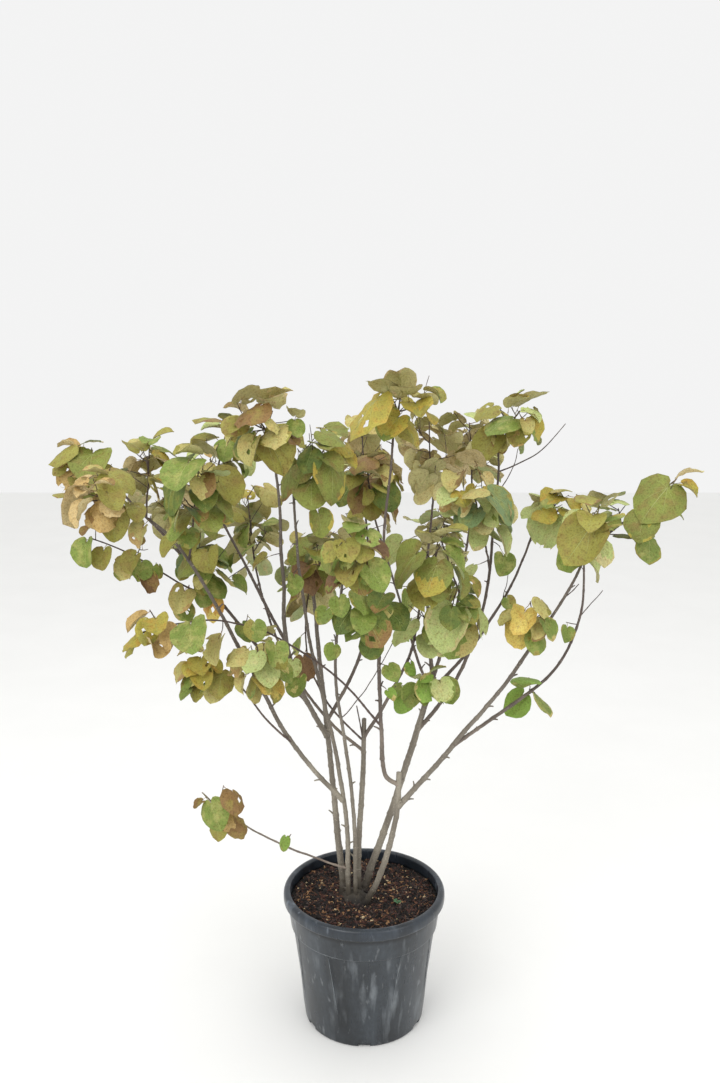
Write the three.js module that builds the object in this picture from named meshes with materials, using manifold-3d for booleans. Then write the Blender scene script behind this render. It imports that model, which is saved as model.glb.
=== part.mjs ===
// A young redbud with several stems, grown in a round nursery pot, at the end of summer.
// Boughs fork from the stems, and each mass of leaves grows on one shoot from its bough.
// Millimetres, +Z up, +X to the plant's right, -Y to its front.
// The origin is the centre of the pot's flat underside.

import * as THREE from 'three';
import { mergeVertices } from 'three/addons/utils/BufferGeometryUtils.js';
import Module from 'manifold-3d';

const wasm = await Module();
wasm.setup();

// ---------------------------------------------------------------- driving dimensions

// The gap that every solid keeps to the one it grows from or rests on.
const CLEARANCE = 0.3;

// A pot of about 30 litres, with four shallow panels and six drainage notches.
const POT = {
  height: 333,
  footRadius: 146,
  footBevel: 4,
  shoulderRadius: 186,
  lipRadius: 197,
  lipHeight: 27,
  lipRound: 7,
  mouthRadius: 180,
  wall: 3,
  floor: 4,
  sides: 28,
  panels: 4,
  panelHalfAngle: 22,
  panelBottom: 90,
  panelTop: 246,
  panelDepth: 2,
  notches: 6,
  notchWidth: 33,
  notchHeight: 12,
};

// The compost stands highest in the middle.
const SOIL = { middleHeight: 308, middleRadius: 80, edgeHeight: 305, sides: POT.sides / 2 };

// The short, flared foot that the stems share.
const ROOT_CROWN = {
  x: -25,
  y: -14,
  footRadius: 50,
  neckRadius: 43,
  height: 22,
  sides: 14,
  lobes: 5,
  lobeDepth: 0.1,
};

// The stems' lines part from one another under the compost, at this height.
const STEM_START = 286;

// How far apart the growth nodes stand, and how far each one kinks the wood aside.
const LIMB_NODE_GAP = 86;
const TWIG_NODE_GAP = 50;
const LIMB_KINK = 2.5;
const TWIG_KINK = 2.2;
const STEM_SIDES = 6;
const BOUGH_SIDES = 5;
const TWIG_SIDES = 3;
const LEAVES_PER_TWIG = 4.8;

// How often a twig or a leaf is rolled again before it is left out.
const TWIG_ROLLS = 8;
const TIP_LEAF_ROLLS = 40;
const LEAF_ROUNDS = 24;

// Corners that stand off a flat face by less than this are left out.
const FLATNESS = 0.1;

// The wood of a leafy shoot, thickness at its base and at its tip.
const SHOOT_WIDTH = [5, 3.4];
const TWIG_WIDTH = [3.6, 3];

// A leaf, in lengths of its blade from the notch to the point.
const LEAF = {
  lobeBack: -0.12,
  lobeSide: 0.3,
  bellyAhead: 0.38,
  bellySide: 0.52,
  ridgeAhead: 0.32,
  ridgeHeight: 0.045,
  discAhead: 0.42,
  discRadius: 0.6,
  crossRadius: 0.52,
  stalkShare: [0.35, 0.6],
  smallest: 44,
  spacing: 0.3,
  droops: [30, 84],
};

// The stalk's half width and depth at the blade, and the share of them at its root.
const STALK = { halfWidth: 1.1, depth: 1.9, rootShare: 0.5 };

// The shares of each straight piece of a twig at which leaves stand, and the tip's own place.
const JOINT_SHARES = [0.28, 0.72];
const TIP_INSET = 3;

// Room that leaves and twigs keep to other wood, and to the next mass of leaves.
const LEAF_ROOM = 5;
const STALK_ROOM = 3;
const TWIG_ROOM = 4;
const MASS_ROOM = 1;

// Each stem rises from its foot in the root crown to its tip. bow is how far its middle
// stands off the straight line, sway how far it swings to one side and then to the other.
const STEMS = {
  stem_left: {
    foot: [-48, -2], tip: [-125, 70, 1085],
    bow: [0, -5, 0], sway: [0, 0, 0], width: [18, 8],
  },
  stem_dark_left: {
    foot: [-37, -24], tip: [-150, -170, 1340],
    bow: [5, 45, -5], sway: [15, -5, 10], width: [13, 5],
  },
  stem_slender: {
    foot: [-20, -22], tip: [-40, -290, 1215],
    bow: [-20, 70, 15], sway: [15, -10, 25], width: [11, 5],
  },
  stem_cut: {
    foot: [-16, 2], tip: [0, 30, 755],
    bow: [0, 5, 0], sway: [0, 0, 0], width: [16, 11],
  },
  stem_right: {
    foot: [-10, 20], tip: [170, 90, 840],
    bow: [5, 0, 0], sway: [0, 0, 0], width: [18, 14],
  },
  stem_front_right: {
    foot: [-8, -35], tip: [80, -90, 670],
    bow: [25, -5, -5], sway: [0, 0, 0], width: [15, 12],
  },
};

// Each bough grows from a share of the length of the wood it is on.
const BOUGHS = {
  bough_left_upright: {
    on: 'stem_left', at: 0.53, tip: [-190, -230, 1450],
    bow: [-40, 20, -10], sway: [-15, 0, -5], width: [13, 4.5],
  },
  bough_far_left_high: {
    on: 'bough_left_upright', at: 0.14, tip: [-595, 60, 1335],
    bow: [-5, 30, 0], sway: [-5, 0, 0], width: [9, 4.5],
  },
  bough_left_leaning: {
    on: 'bough_left_upright', at: 0.35, tip: [-370, 130, 1270],
    bow: [10, -5, -15], sway: [0, 0, 0], width: [8, 5],
  },
  bough_back_centre: {
    on: 'stem_left', at: 0.57, tip: [5, 230, 1205],
    bow: [55, -5, -10], sway: [5, 5, 10], width: [9, 5],
  },
  bough_far_left_low: {
    on: 'stem_dark_left', at: 0.27, tip: [-500, -170, 1310],
    bow: [-5, -5, 35], sway: [0, 5, -50], width: [12, 4.5],
  },
  bough_front_centre: {
    on: 'stem_cut', at: 0.9, tip: [120, -170, 1100],
    bow: [30, 20, 0], sway: [0, 0, 5], width: [9, 5],
  },
  bough_back_left: {
    on: 'stem_cut', at: 0.83, tip: [-285, 340, 1050],
    bow: [-40, -5, -30], sway: [0, 0, -5], width: [8, 5],
  },
  bough_right_upright: {
    on: 'stem_right', at: 0.985, tip: [175, 260, 1250],
    bow: [-15, 0, 0], sway: [0, 0, 0], width: [10, 5],
  },
  bough_back_right: {
    on: 'stem_right', at: 0.97, tip: [285, 340, 1240],
    bow: [15, 10, -15], sway: [0, 0, -5], width: [9, 5],
  },
  bough_right_rising: {
    on: 'stem_right', at: 0.92, tip: [415, 150, 1200],
    bow: [25, 5, -20], sway: [-5, 0, -10], width: [9, 4.5],
  },
  bough_centre_crossing: {
    on: 'stem_right', at: 0.94, tip: [25, 60, 1235],
    bow: [0, -25, -10], sway: [-5, 0, 5], width: [7, 4.5],
  },
  bough_right_tall: {
    on: 'stem_right', at: 0.76, tip: [305, 40, 1425],
    bow: [70, 10, -20], sway: [10, 0, -5], width: [10, 4.5],
  },
  bough_elbow: {
    on: 'stem_front_right', at: 0.92, tip: [40, -100, 710],
    bow: [-10, 0, -10], sway: [0, 0, 0], width: [10, 9.5],
  },
  bough_centre_tall: {
    on: 'bough_elbow', at: 0.97, tip: [60, -190, 1475],
    bow: [-20, -70, -15], sway: [0, 10, 30], width: [9.5, 4.5],
  },
  bough_far_right: {
    on: 'stem_front_right', at: 0.78, tip: [465, -190, 1200],
    bow: [20, 0, -15], sway: [0, 0, 5], width: [13, 5],
  },
  bough_far_right_low: {
    on: 'bough_far_right', at: 0.28, tip: [495, -40, 1175],
    bow: [80, 10, -60], sway: [0, 5, 20], width: [9, 4.5],
  },
};

// Each mass of leaves grows on one shoot. It is leafy from a share of the shoot's length to
// its tip, and keeps within its spread of that stretch. faces is the heading that its leaves
// turn to, in degrees from +X, and largest is the length of the leaf at its tip. droops is
// how far the blades hang below the level, in degrees, where it isn't the usual range.
const MASSES = {
  leaves_far_left: {
    on: 'bough_far_left_high', at: 1, tip: [-655, 30, 1365],
    leafy: 0.2, spread: 82, leaves: 9, faces: -80, largest: 100,
  },
  leaves_left_top: {
    on: 'bough_far_left_high', at: 0.82, tip: [-515, 150, 1395],
    leafy: 0.3, spread: 92, leaves: 10, faces: 80, largest: 80,
  },
  leaves_left_tan: {
    on: 'bough_far_left_low', at: 1, tip: [-575, -205, 1320],
    leafy: 0.1, spread: 85, leaves: 9, faces: -100, largest: 88,
  },
  leaves_left_low: {
    on: 'bough_far_left_high', at: 0.49, tip: [-620, -35, 1210],
    bow: [20, 5, -20], sway: [5, 5, -15],
    leafy: 0.6, spread: 70, leaves: 6, faces: -110, largest: 62,
  },
  leaves_left_back: {
    on: 'bough_far_left_high', at: 0.68, tip: [-475, 260, 1265],
    leafy: 0.4, spread: 95, leaves: 10, faces: 100, largest: 85,
  },
  leaves_left_front: {
    on: 'bough_far_left_low', at: 0.72, tip: [-330, -280, 1390],
    leafy: 0.45, spread: 92, leaves: 12, faces: -90, largest: 98,
  },
  leaves_left_inner: {
    on: 'bough_far_left_high', at: 0.51, tip: [-385, 0, 1180],
    leafy: 0.3, spread: 80, leaves: 8, faces: -60, largest: 72,
  },
  leaves_left_pair: {
    on: 'bough_centre_tall', at: 0.1, tip: [-488, -190, 1030],
    bow: [55, -60, 110], sway: [0, 5, -15],
    leafy: 0.88, spread: 80, leaves: 6, faces: -100, largest: 82,
  },
  leaves_left_under: {
    on: 'bough_far_left_low', at: 0.24, tip: [-370, -150, 915],
    bow: [5, -30, 55], sway: [0, 5, -25],
    leafy: 0.8, spread: 68, leaves: 7, faces: -120, largest: 75,
  },
  leaves_under_gold: {
    on: 'bough_far_left_low', at: 0.38, tip: [-225, -245, 1020],
    leafy: 0.4, spread: 80, leaves: 8, faces: -95, largest: 98,
  },
  leaves_crown_left: {
    on: 'bough_left_leaning', at: 1, tip: [-325, 100, 1430],
    leafy: 0.2, spread: 95, leaves: 12, faces: -70, largest: 92,
  },
  leaves_crown_front: {
    on: 'bough_left_upright', at: 1, tip: [-210, -255, 1490],
    leafy: -1.2, spread: 92, leaves: 12, faces: -90, largest: 86,
  },
  leaves_crown_middle: {
    on: 'stem_dark_left', at: 1, tip: [-85, -150, 1420],
    leafy: 0.1, spread: 95, leaves: 11, faces: -85, largest: 100,
  },
  leaves_back_left: {
    on: 'bough_back_left', at: 1, tip: [-310, 400, 1240],
    leafy: 0.2, spread: 105, leaves: 11, faces: 110, largest: 90,
  },
  leaves_back_centre: {
    on: 'stem_cut', at: 0.88, tip: [-120, 300, 1170],
    bow: [-85, -20, -15], sway: [-15, 5, 5],
    leafy: 0.72, spread: 98, leaves: 11, faces: 90, largest: 88,
  },
  leaves_dark_pair: {
    on: 'bough_centre_tall', at: 0.42, tip: [-15, -265, 1120],
    leafy: 0.3, spread: 78, leaves: 7, faces: -90, largest: 80,
  },
  leaves_inner_brown: {
    on: 'stem_left', at: 1, tip: [-85, 0, 1175],
    leafy: 0.2, spread: 84, leaves: 10, faces: -80, largest: 78,
  },
  leaves_front_centre: {
    on: 'stem_slender', at: 1, tip: [10, -365, 1235],
    leafy: 0.1, spread: 92, leaves: 10, faces: -90, largest: 90,
  },
  leaves_top: {
    on: 'bough_centre_tall', at: 1, tip: [72, -190, 1530],
    leafy: -0.8, spread: 92, leaves: 9, faces: -90, largest: 105, droops: [-65, 60],
  },
  leaves_top_back: {
    on: 'bough_back_centre', at: 1, tip: [-5, 240, 1435],
    leafy: 0.3, spread: 98, leaves: 11, faces: 95, largest: 86,
  },
  leaves_centre: {
    on: 'bough_centre_crossing', at: 1, tip: [5, 40, 1370],
    leafy: 0.1, spread: 84, leaves: 9, faces: -60, largest: 80,
  },
  leaves_right_top: {
    on: 'bough_right_upright', at: 1, tip: [160, 220, 1450],
    leafy: 0.3, spread: 98, leaves: 11, faces: 60, largest: 82,
  },
  leaves_back_top: {
    on: 'bough_back_right', at: 1, tip: [270, 330, 1440],
    leafy: 0.3, spread: 98, leaves: 11, faces: 85, largest: 84,
  },
  leaves_back_right: {
    on: 'bough_back_right', at: 0.5, tip: [190, 400, 1170],
    leafy: 0.5, spread: 95, leaves: 10, faces: 75, largest: 84,
  },
  leaves_far_top: {
    on: 'bough_right_tall', at: 1, tip: [350, 20, 1490],
    leafy: 0, spread: 85, leaves: 9, faces: -70, largest: 84,
  },
  leaves_right_front: {
    on: 'bough_right_tall', at: 0.59, tip: [230, -150, 1335],
    leafy: 0.6, spread: 95, leaves: 12, faces: -90, largest: 90,
  },
  leaves_middle: {
    on: 'bough_front_centre', at: 1, tip: [150, -260, 1235],
    leafy: 0.2, spread: 88, leaves: 11, faces: -90, largest: 102,
  },
  leaves_low_right: {
    on: 'bough_front_centre', at: 0.72, tip: [225, -150, 1095],
    leafy: 0.3, spread: 98, leaves: 12, faces: -85, largest: 98,
  },
  leaves_low_green: {
    on: 'bough_front_centre', at: 0.3, tip: [165, -130, 905],
    leafy: 0.4, spread: 64, leaves: 8, faces: -70, largest: 62,
  },
  leaves_right_inner: {
    on: 'bough_right_rising', at: 1, tip: [475, 120, 1255],
    leafy: 0, spread: 84, leaves: 8, faces: -80, largest: 88,
  },
  leaves_right_big: {
    on: 'bough_far_right', at: 1, tip: [480, -225, 1312],
    leafy: 0.1, spread: 84, leaves: 8, faces: -90, largest: 100,
  },
  leaves_far_right: {
    on: 'bough_far_right_low', at: 1, tip: [688, -55, 1345],
    leafy: 0.3, spread: 84, leaves: 8, faces: -80, largest: 98, droops: [-20, 70],
  },
  leaves_right_gold: {
    on: 'bough_far_right', at: 0.76, tip: [330, -160, 1075],
    leafy: 0.1, spread: 78, leaves: 5, faces: -75, largest: 66,
  },
  leaves_right_low: {
    on: 'bough_far_right_low', at: 0.35, tip: [386, -60, 862],
    leafy: 0.4, spread: 88, leaves: 2, faces: -80, largest: 66,
  },
  leaves_low_sprig: {
    on: 'stem_dark_left', at: 0.1, tip: [-368, -130, 640],
    bow: [-10, -5, -20], sway: [5, 0, 0],
    leafy: 0.8, spread: 68, leaves: 5, faces: -90, largest: 62,
  },
};

// ---------------------------------------------------------------- colours

const paint = (color, roughness) => new THREE.MeshStandardMaterial({ color, roughness, metalness: 0 });
const POT_PLASTIC = paint(0x30363c, 0.45);
const COMPOST = paint(0x2e2019, 0.95);
const BARK = paint(0x8d857c, 0.8);
const YOUNG_BARK = paint(0x5a4a46, 0.75);
const LEAF_GREENS = [paint(0x6b7a32, 0.6), paint(0x8a8a3c, 0.6), paint(0x55702f, 0.6), paint(0xa09050, 0.65)];

// ---------------------------------------------------------------- small tools

const vector = ([x, y, z]) => new THREE.Vector3(x, y, z);
const mix = ([low, high], share) => low + (high - low) * share;
const ORIGIN = [0, 0, 0];
const UP = new THREE.Vector3(0, 0, 1);

// A repeatable run of numbers from 0 to 1.
function diceFrom(seed) {
  const modulus = 2147483647;
  let state = (seed * 7919 + 12345) % modulus;
  const roll = () => {
    state = (state * 48271) % modulus;
    return state / modulus;
  };
  roll();
  roll();
  return roll;
}

// Any direction square to the given one.
function squareTo(direction) {
  const helper = Math.abs(direction.z) < 0.8 ? UP : new THREE.Vector3(1, 0, 0);
  return new THREE.Vector3().crossVectors(helper, direction).normalize();
}

function solidFrom(geometry) {
  for (const name of ['normal', 'uv']) {
    geometry.deleteAttribute(name);
  }
  const merged = mergeVertices(geometry);
  const mesh = new wasm.Mesh({
    numProp: 3,
    vertProperties: Float32Array.from(merged.getAttribute('position').array),
    triVerts: Uint32Array.from(merged.getIndex().array),
  });
  return new wasm.Manifold(mesh).setTolerance(FLATNESS);
}

function geometryFrom(solid) {
  const mesh = solid.getMesh();
  const geometry = new THREE.BufferGeometry();
  geometry.setAttribute('position', new THREE.BufferAttribute(mesh.vertProperties, 3));
  geometry.setIndex(new THREE.BufferAttribute(mesh.triVerts, 1));
  geometry.computeVertexNormals();
  return geometry;
}

const largestPiece = (solid) => solid.decompose().reduce((a, b) => (b.volume() > a.volume() ? b : a));

function boxesMeet(one, other) {
  const a = one.boundingBox();
  const b = other.boundingBox();
  return [0, 1, 2].every((axis) => a.min[axis] <= b.max[axis] && b.min[axis] <= a.max[axis]);
}

// The solid with every other one cut out of it, as one piece.
function clearedOf(solid, others) {
  let left = solid;
  for (const other of others) {
    if (boxesMeet(left, other)) {
      left = left.subtract(other);
    }
  }
  return largestPiece(left);
}

// ---------------------------------------------------------------- paths and tubes

// A line with an even bow and an even sway, kinked aside at its nodes.
function path(start, { tip, bow = ORIGIN, sway = ORIGIN }, nodeGap, kink, dice) {
  const place = (t) => start.clone()
    .lerp(vector(tip), t)
    .addScaledVector(vector(bow), 4 * t * (1 - t))
    .addScaledVector(vector(sway), Math.sin(2 * Math.PI * t));
  const steps = Math.max(2, Math.round(start.distanceTo(vector(tip)) / nodeGap));
  const points = [];
  for (let i = 0; i <= steps; i += 1) {
    const point = place(i / steps);
    const aside = new THREE.Vector3(dice() - 0.5, dice() - 0.5, dice() - 0.5);
    if (i > 0 && i < steps) {
      point.addScaledVector(aside, 2 * kink);
    }
    points.push(point);
  }
  return points;
}

// The place at a share of a path, which may also lie before its start.
function placeOn(points, share) {
  const steps = points.length - 1;
  const first = Math.min(Math.max(Math.floor(share * steps), 0), steps - 1);
  return points[first].clone().lerp(points[first + 1], share * steps - first);
}

const aheadAt = (points, i) => points[Math.min(i + 1, points.length - 1)].clone()
  .sub(points[Math.max(i - 1, 0)])
  .normalize();

// A closed tube of a few sides, which tapers from the first width to the last.
function tube({ points, width }, sides, extra = 0) {
  const steps = points.length - 1;
  const geometry = new THREE.CylinderGeometry(1, 1, 1, sides, steps);
  const frames = [];
  let across = squareTo(aheadAt(points, 0));
  for (let i = 0; i <= steps; i += 1) {
    const ahead = aheadAt(points, i);
    across = across.clone().addScaledVector(ahead, -across.dot(ahead)).normalize();
    frames.push({ across, over: new THREE.Vector3().crossVectors(across, ahead) });
  }
  const position = geometry.getAttribute('position');
  for (let v = 0; v < position.count; v += 1) {
    const i = Math.round((position.getY(v) + 0.5) * steps);
    const radius = mix(width, i / steps) / 2 + extra;
    const spot = points[i].clone()
      .addScaledVector(frames[i].across, position.getX(v) * radius)
      .addScaledVector(frames[i].over, position.getZ(v) * radius);
    position.setXYZ(v, spot.x, spot.y, spot.z);
  }
  return solidFrom(geometry);
}

// ---------------------------------------------------------------- pot, compost and root crown

// A closed ring profile, turned about the vertical axis, with its first side at the front.
function turned(profile, sides, radiusFactor = () => 1) {
  const geometry = new THREE.LatheGeometry(profile.map(([r, z]) => new THREE.Vector2(r, z)), sides);
  geometry.rotateX(Math.PI / 2);
  const position = geometry.getAttribute('position');
  for (let v = 0; v < position.count; v += 1) {
    const [x, y, z] = [position.getX(v), position.getY(v), position.getZ(v)];
    const factor = radiusFactor(Math.hypot(x, y), Math.atan2(x, -y), z);
    position.setXYZ(v, x * factor, y * factor, z);
  }
  return solidFrom(geometry);
}

const potRadiusAt = (z) => mix([POT.footRadius, POT.shoulderRadius], z / (POT.height - POT.lipHeight));

function makePot() {
  const lipBottom = POT.height - POT.lipHeight;
  const inside = (z) => potRadiusAt(z) - POT.wall;
  const profile = [
    [0, 0],
    [POT.footRadius - POT.footBevel, 0],
    [potRadiusAt(POT.footBevel), POT.footBevel],
    [potRadiusAt(POT.panelBottom), POT.panelBottom],
    [potRadiusAt(POT.panelTop), POT.panelTop],
    [potRadiusAt(POT.panelTop) + 1, POT.panelTop + POT.wall],
    [POT.shoulderRadius, lipBottom],
    [POT.lipRadius, lipBottom + POT.wall],
    [POT.lipRadius, POT.height - POT.lipRound],
    [POT.lipRadius - POT.lipRound, POT.height],
    [POT.mouthRadius, POT.height - POT.wall],
    [inside(lipBottom), lipBottom],
    [inside(POT.floor), POT.floor],
    [0, POT.floor],
  ];
  const panelTurn = (2 * Math.PI) / POT.panels;
  const panelHalf = THREE.MathUtils.degToRad(POT.panelHalfAngle);
  const sunk = (radius, angle, z) => {
    const fromMiddle = Math.abs(angle - panelTurn * Math.round(angle / panelTurn));
    const onPanel = fromMiddle < panelHalf && Math.abs(z - POT.panelTop) < 1;
    return onPanel && radius > inside(z) + 1 ? 1 - POT.panelDepth / radius : 1;
  };
  let pot = turned(profile, POT.sides, sunk);
  for (let i = 0; i < POT.notches; i += 1) {
    const notch = new THREE.BoxGeometry(POT.notchWidth, 4 * POT.notchHeight, 2 * POT.notchHeight);
    notch.translate(0, -POT.footRadius, 0);
    notch.rotateZ((i * 2 * Math.PI) / POT.notches);
    pot = pot.subtract(solidFrom(notch));
  }
  return largestPiece(pot);
}

function makeSoil() {
  const bottom = POT.floor + CLEARANCE;
  const reach = (z) => potRadiusAt(z) - POT.wall - CLEARANCE;
  const profile = [
    [0, bottom],
    [reach(bottom), bottom],
    [reach(SOIL.edgeHeight), SOIL.edgeHeight],
    [SOIL.middleRadius, SOIL.middleHeight],
    [0, SOIL.middleHeight],
  ];
  return turned(profile, SOIL.sides);
}

// What the stems are cut off by, just above the compost.
function makeSoilCutter() {
  const top = SOIL.middleHeight + CLEARANCE;
  return turned([[0, 0], [SOIL.middleRadius, 0], [SOIL.middleRadius, top], [0, top]], SOIL.sides);
}

function makeRootCrown(extra = 0) {
  const { x, y, footRadius, neckRadius, height, sides, lobes, lobeDepth } = ROOT_CROWN;
  const bottom = SOIL.middleHeight + CLEARANCE;
  const profile = [
    [0, bottom - extra],
    [footRadius + extra, bottom - extra],
    [mix([footRadius, neckRadius], 0.7) + extra, bottom + 0.3 * height],
    [neckRadius + extra, bottom + 0.75 * height],
    [neckRadius / 2 + extra, bottom + height + extra],
    [0, bottom + height + extra],
  ];
  const lobed = (radius, angle) => 1 + lobeDepth * Math.cos(lobes * angle);
  return turned(profile, sides, lobed).translate([x, y, 0]);
}

// ---------------------------------------------------------------- stems and boughs

const limbs = {};

function growLimbs() {
  let seed = 1;
  for (const [name, plan] of Object.entries(STEMS)) {
    const start = vector([...plan.foot, STEM_START]);
    limbs[name] = { points: path(start, plan, LIMB_NODE_GAP, LIMB_KINK, diceFrom(seed)), width: plan.width };
    seed += 1;
  }
  for (const [name, plan] of Object.entries(BOUGHS)) {
    const start = placeOn(limbs[plan.on].points, plan.at);
    limbs[name] = { points: path(start, plan, LIMB_NODE_GAP, LIMB_KINK, diceFrom(seed)), width: plan.width };
    seed += 1;
  }
}

// ---------------------------------------------------------------- masses of leaves

// The straight pieces of a path, each with the radius of its thicker end.
function segments({ points, width }) {
  const steps = points.length - 1;
  return points.slice(1).map((to, i) => ({ from: points[i], to, radius: mix(width, i / steps) / 2 }));
}

function distanceToSegment(point, { from, to }) {
  const line = to.clone().sub(from);
  const share = THREE.MathUtils.clamp(point.clone().sub(from).dot(line) / line.lengthSq(), 0, 1);
  return point.distanceTo(from.clone().addScaledVector(line, share));
}

// A leaf's disc touches a limb where a point of the limb comes near it.
function discTouches(centre, face, radius, wood) {
  const pointGap = 8;
  return wood.some((piece) => {
    if (distanceToSegment(centre, piece) > radius + piece.radius + LEAF_ROOM) {
      return false;
    }
    const count = Math.ceil(piece.from.distanceTo(piece.to) / pointGap);
    for (let i = 0; i <= count; i += 1) {
      const offset = piece.from.clone().lerp(piece.to, i / count).sub(centre);
      const height = offset.dot(face);
      const outward = Math.sqrt(Math.max(offset.lengthSq() - height * height, 0));
      if (Math.hypot(height, Math.max(outward - radius, 0)) < piece.radius + LEAF_ROOM) {
        return true;
      }
    }
    return false;
  });
}

// Two discs cross where the line that both planes share lies in both at once.
function discsCross(one, other) {
  const line = new THREE.Vector3().crossVectors(one.face, other.face);
  const gap = one.centre.distanceTo(other.centre);
  const reach = LEAF.crossRadius * (one.size + other.size);
  if (gap > reach) {
    return false;
  }
  if (line.length() < 0.05) {
    return Math.abs(other.centre.clone().sub(one.centre).dot(one.face)) < LEAF_ROOM;
  }
  line.normalize();
  const inPlane = new THREE.Vector3().crossVectors(line, one.face);
  const height = other.centre.clone().sub(one.centre).dot(other.face);
  const shared = one.centre.clone().addScaledVector(inPlane, height / inPlane.dot(other.face));
  const [first, second] = [one, other].map(({ centre, size }) => {
    const along = centre.clone().sub(shared).dot(line);
    const aside = centre.distanceTo(shared.clone().addScaledVector(line, along));
    const half = Math.sqrt(Math.max((LEAF.crossRadius * size) ** 2 - aside * aside, 0));
    return [along - half, along + half, half];
  });
  return first[2] > 0 && second[2] > 0 && first[0] < second[1] && second[0] < first[1];
}

// A stalk crosses a disc where it passes the disc's plane near the disc's middle.
function stalkCrosses(stalk, disc) {
  const before = stalk.joint.clone().sub(disc.centre).dot(disc.face);
  const after = stalk.notch.clone().sub(disc.centre).dot(disc.face);
  if (before * after > 0) {
    return false;
  }
  const point = stalk.joint.clone().lerp(stalk.notch, before / (before - after));
  return point.distanceTo(disc.centre) < LEAF.discRadius * disc.size;
}

// A line touches wood where, past its first few millimetres, it comes near it.
function lineTouches(from, to, skip, room, wood) {
  const pointGap = 5;
  const length = from.distanceTo(to);
  for (let along = skip; along <= length; along += pointGap) {
    const point = from.clone().lerp(to, along / length);
    if (wood.some((piece) => distanceToSegment(point, piece) < piece.radius + room)) {
      return true;
    }
  }
  return false;
}

// The five points of a leaf's outline away from its notch, in the order of its edge.
function outlineOf({ notch, axis, cross, size }) {
  const place = (ahead, side) => notch.clone()
    .addScaledVector(axis, ahead * size)
    .addScaledVector(cross, side * size);
  return [
    place(1, 0),
    place(LEAF.bellyAhead, LEAF.bellySide),
    place(LEAF.lobeBack, LEAF.lobeSide),
    place(LEAF.lobeBack, -LEAF.lobeSide),
    place(LEAF.bellyAhead, -LEAF.bellySide),
  ];
}

// A leaf hangs from its node by a stalk: the blade points down and out, and turns to a heading.
function rollLeaf(joint, size, { faces, droops = LEAF.droops }, dice) {
  const heading = THREE.MathUtils.degToRad(faces + 150 * (dice() - 0.5));
  const droop = THREE.MathUtils.degToRad(mix(droops, dice()));
  const lean = THREE.MathUtils.degToRad(mix([-32, 32], dice()));
  const outward = new THREE.Vector3(Math.cos(heading), Math.sin(heading), 0);
  const level = new THREE.Vector3(-Math.sin(heading), Math.cos(heading), 0);
  const down = outward.clone().multiplyScalar(Math.cos(droop)).addScaledVector(UP, -Math.sin(droop));
  const axis = down.clone().multiplyScalar(Math.cos(lean)).addScaledVector(level, Math.sin(lean));
  const cross = level.clone().multiplyScalar(Math.cos(lean)).addScaledVector(down, -Math.sin(lean));
  const face = new THREE.Vector3().crossVectors(axis, cross);
  const back = axis.clone().multiplyScalar(-mix([0.35, 1], dice()))
    .addScaledVector(face, -mix([0, 0.9], dice()))
    .addScaledVector(cross, mix([-0.4, 0.4], dice()))
    .normalize();
  const stalk = size * mix(LEAF.stalkShare, dice());
  const notch = joint.clone().addScaledVector(back, -stalk);
  const centre = notch.clone().addScaledVector(axis, LEAF.discAhead * size);
  return { joint, notch, centre, axis, cross, face, back, size };
}

// The room that belongs to a mass: a capsule about its leafy stretch, less what lies nearer
// to another mass.
function roomOf(name, middles) {
  const own = middles[name];
  const others = Object.values(middles).filter((other) => other !== own);
  const pull = (point, { middle, spread }) => point.distanceToSquared(middle) - spread * spread;
  const nearest = (point) => others.every((other) => {
    const gap = other.middle.distanceTo(own.middle);
    return pull(point, other) - pull(point, own) > 2 * MASS_ROOM * gap;
  });
  return (point) => distanceToSegment(point, own.stretch) < own.spread && nearest(point);
}

// Leaves stand at two joints of each straight piece of wood, and at its tip.
function jointsAlong(points, first) {
  const places = [];
  for (let i = first; i < points.length - 1; i += 1) {
    places.push(...JOINT_SHARES.map((share) => points[i].clone().lerp(points[i + 1], share)));
  }
  return places;
}

function tipJoint(points) {
  const [before, tip] = points.slice(-2);
  return tip.clone().lerp(before, TIP_INSET / tip.distanceTo(before));
}

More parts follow.
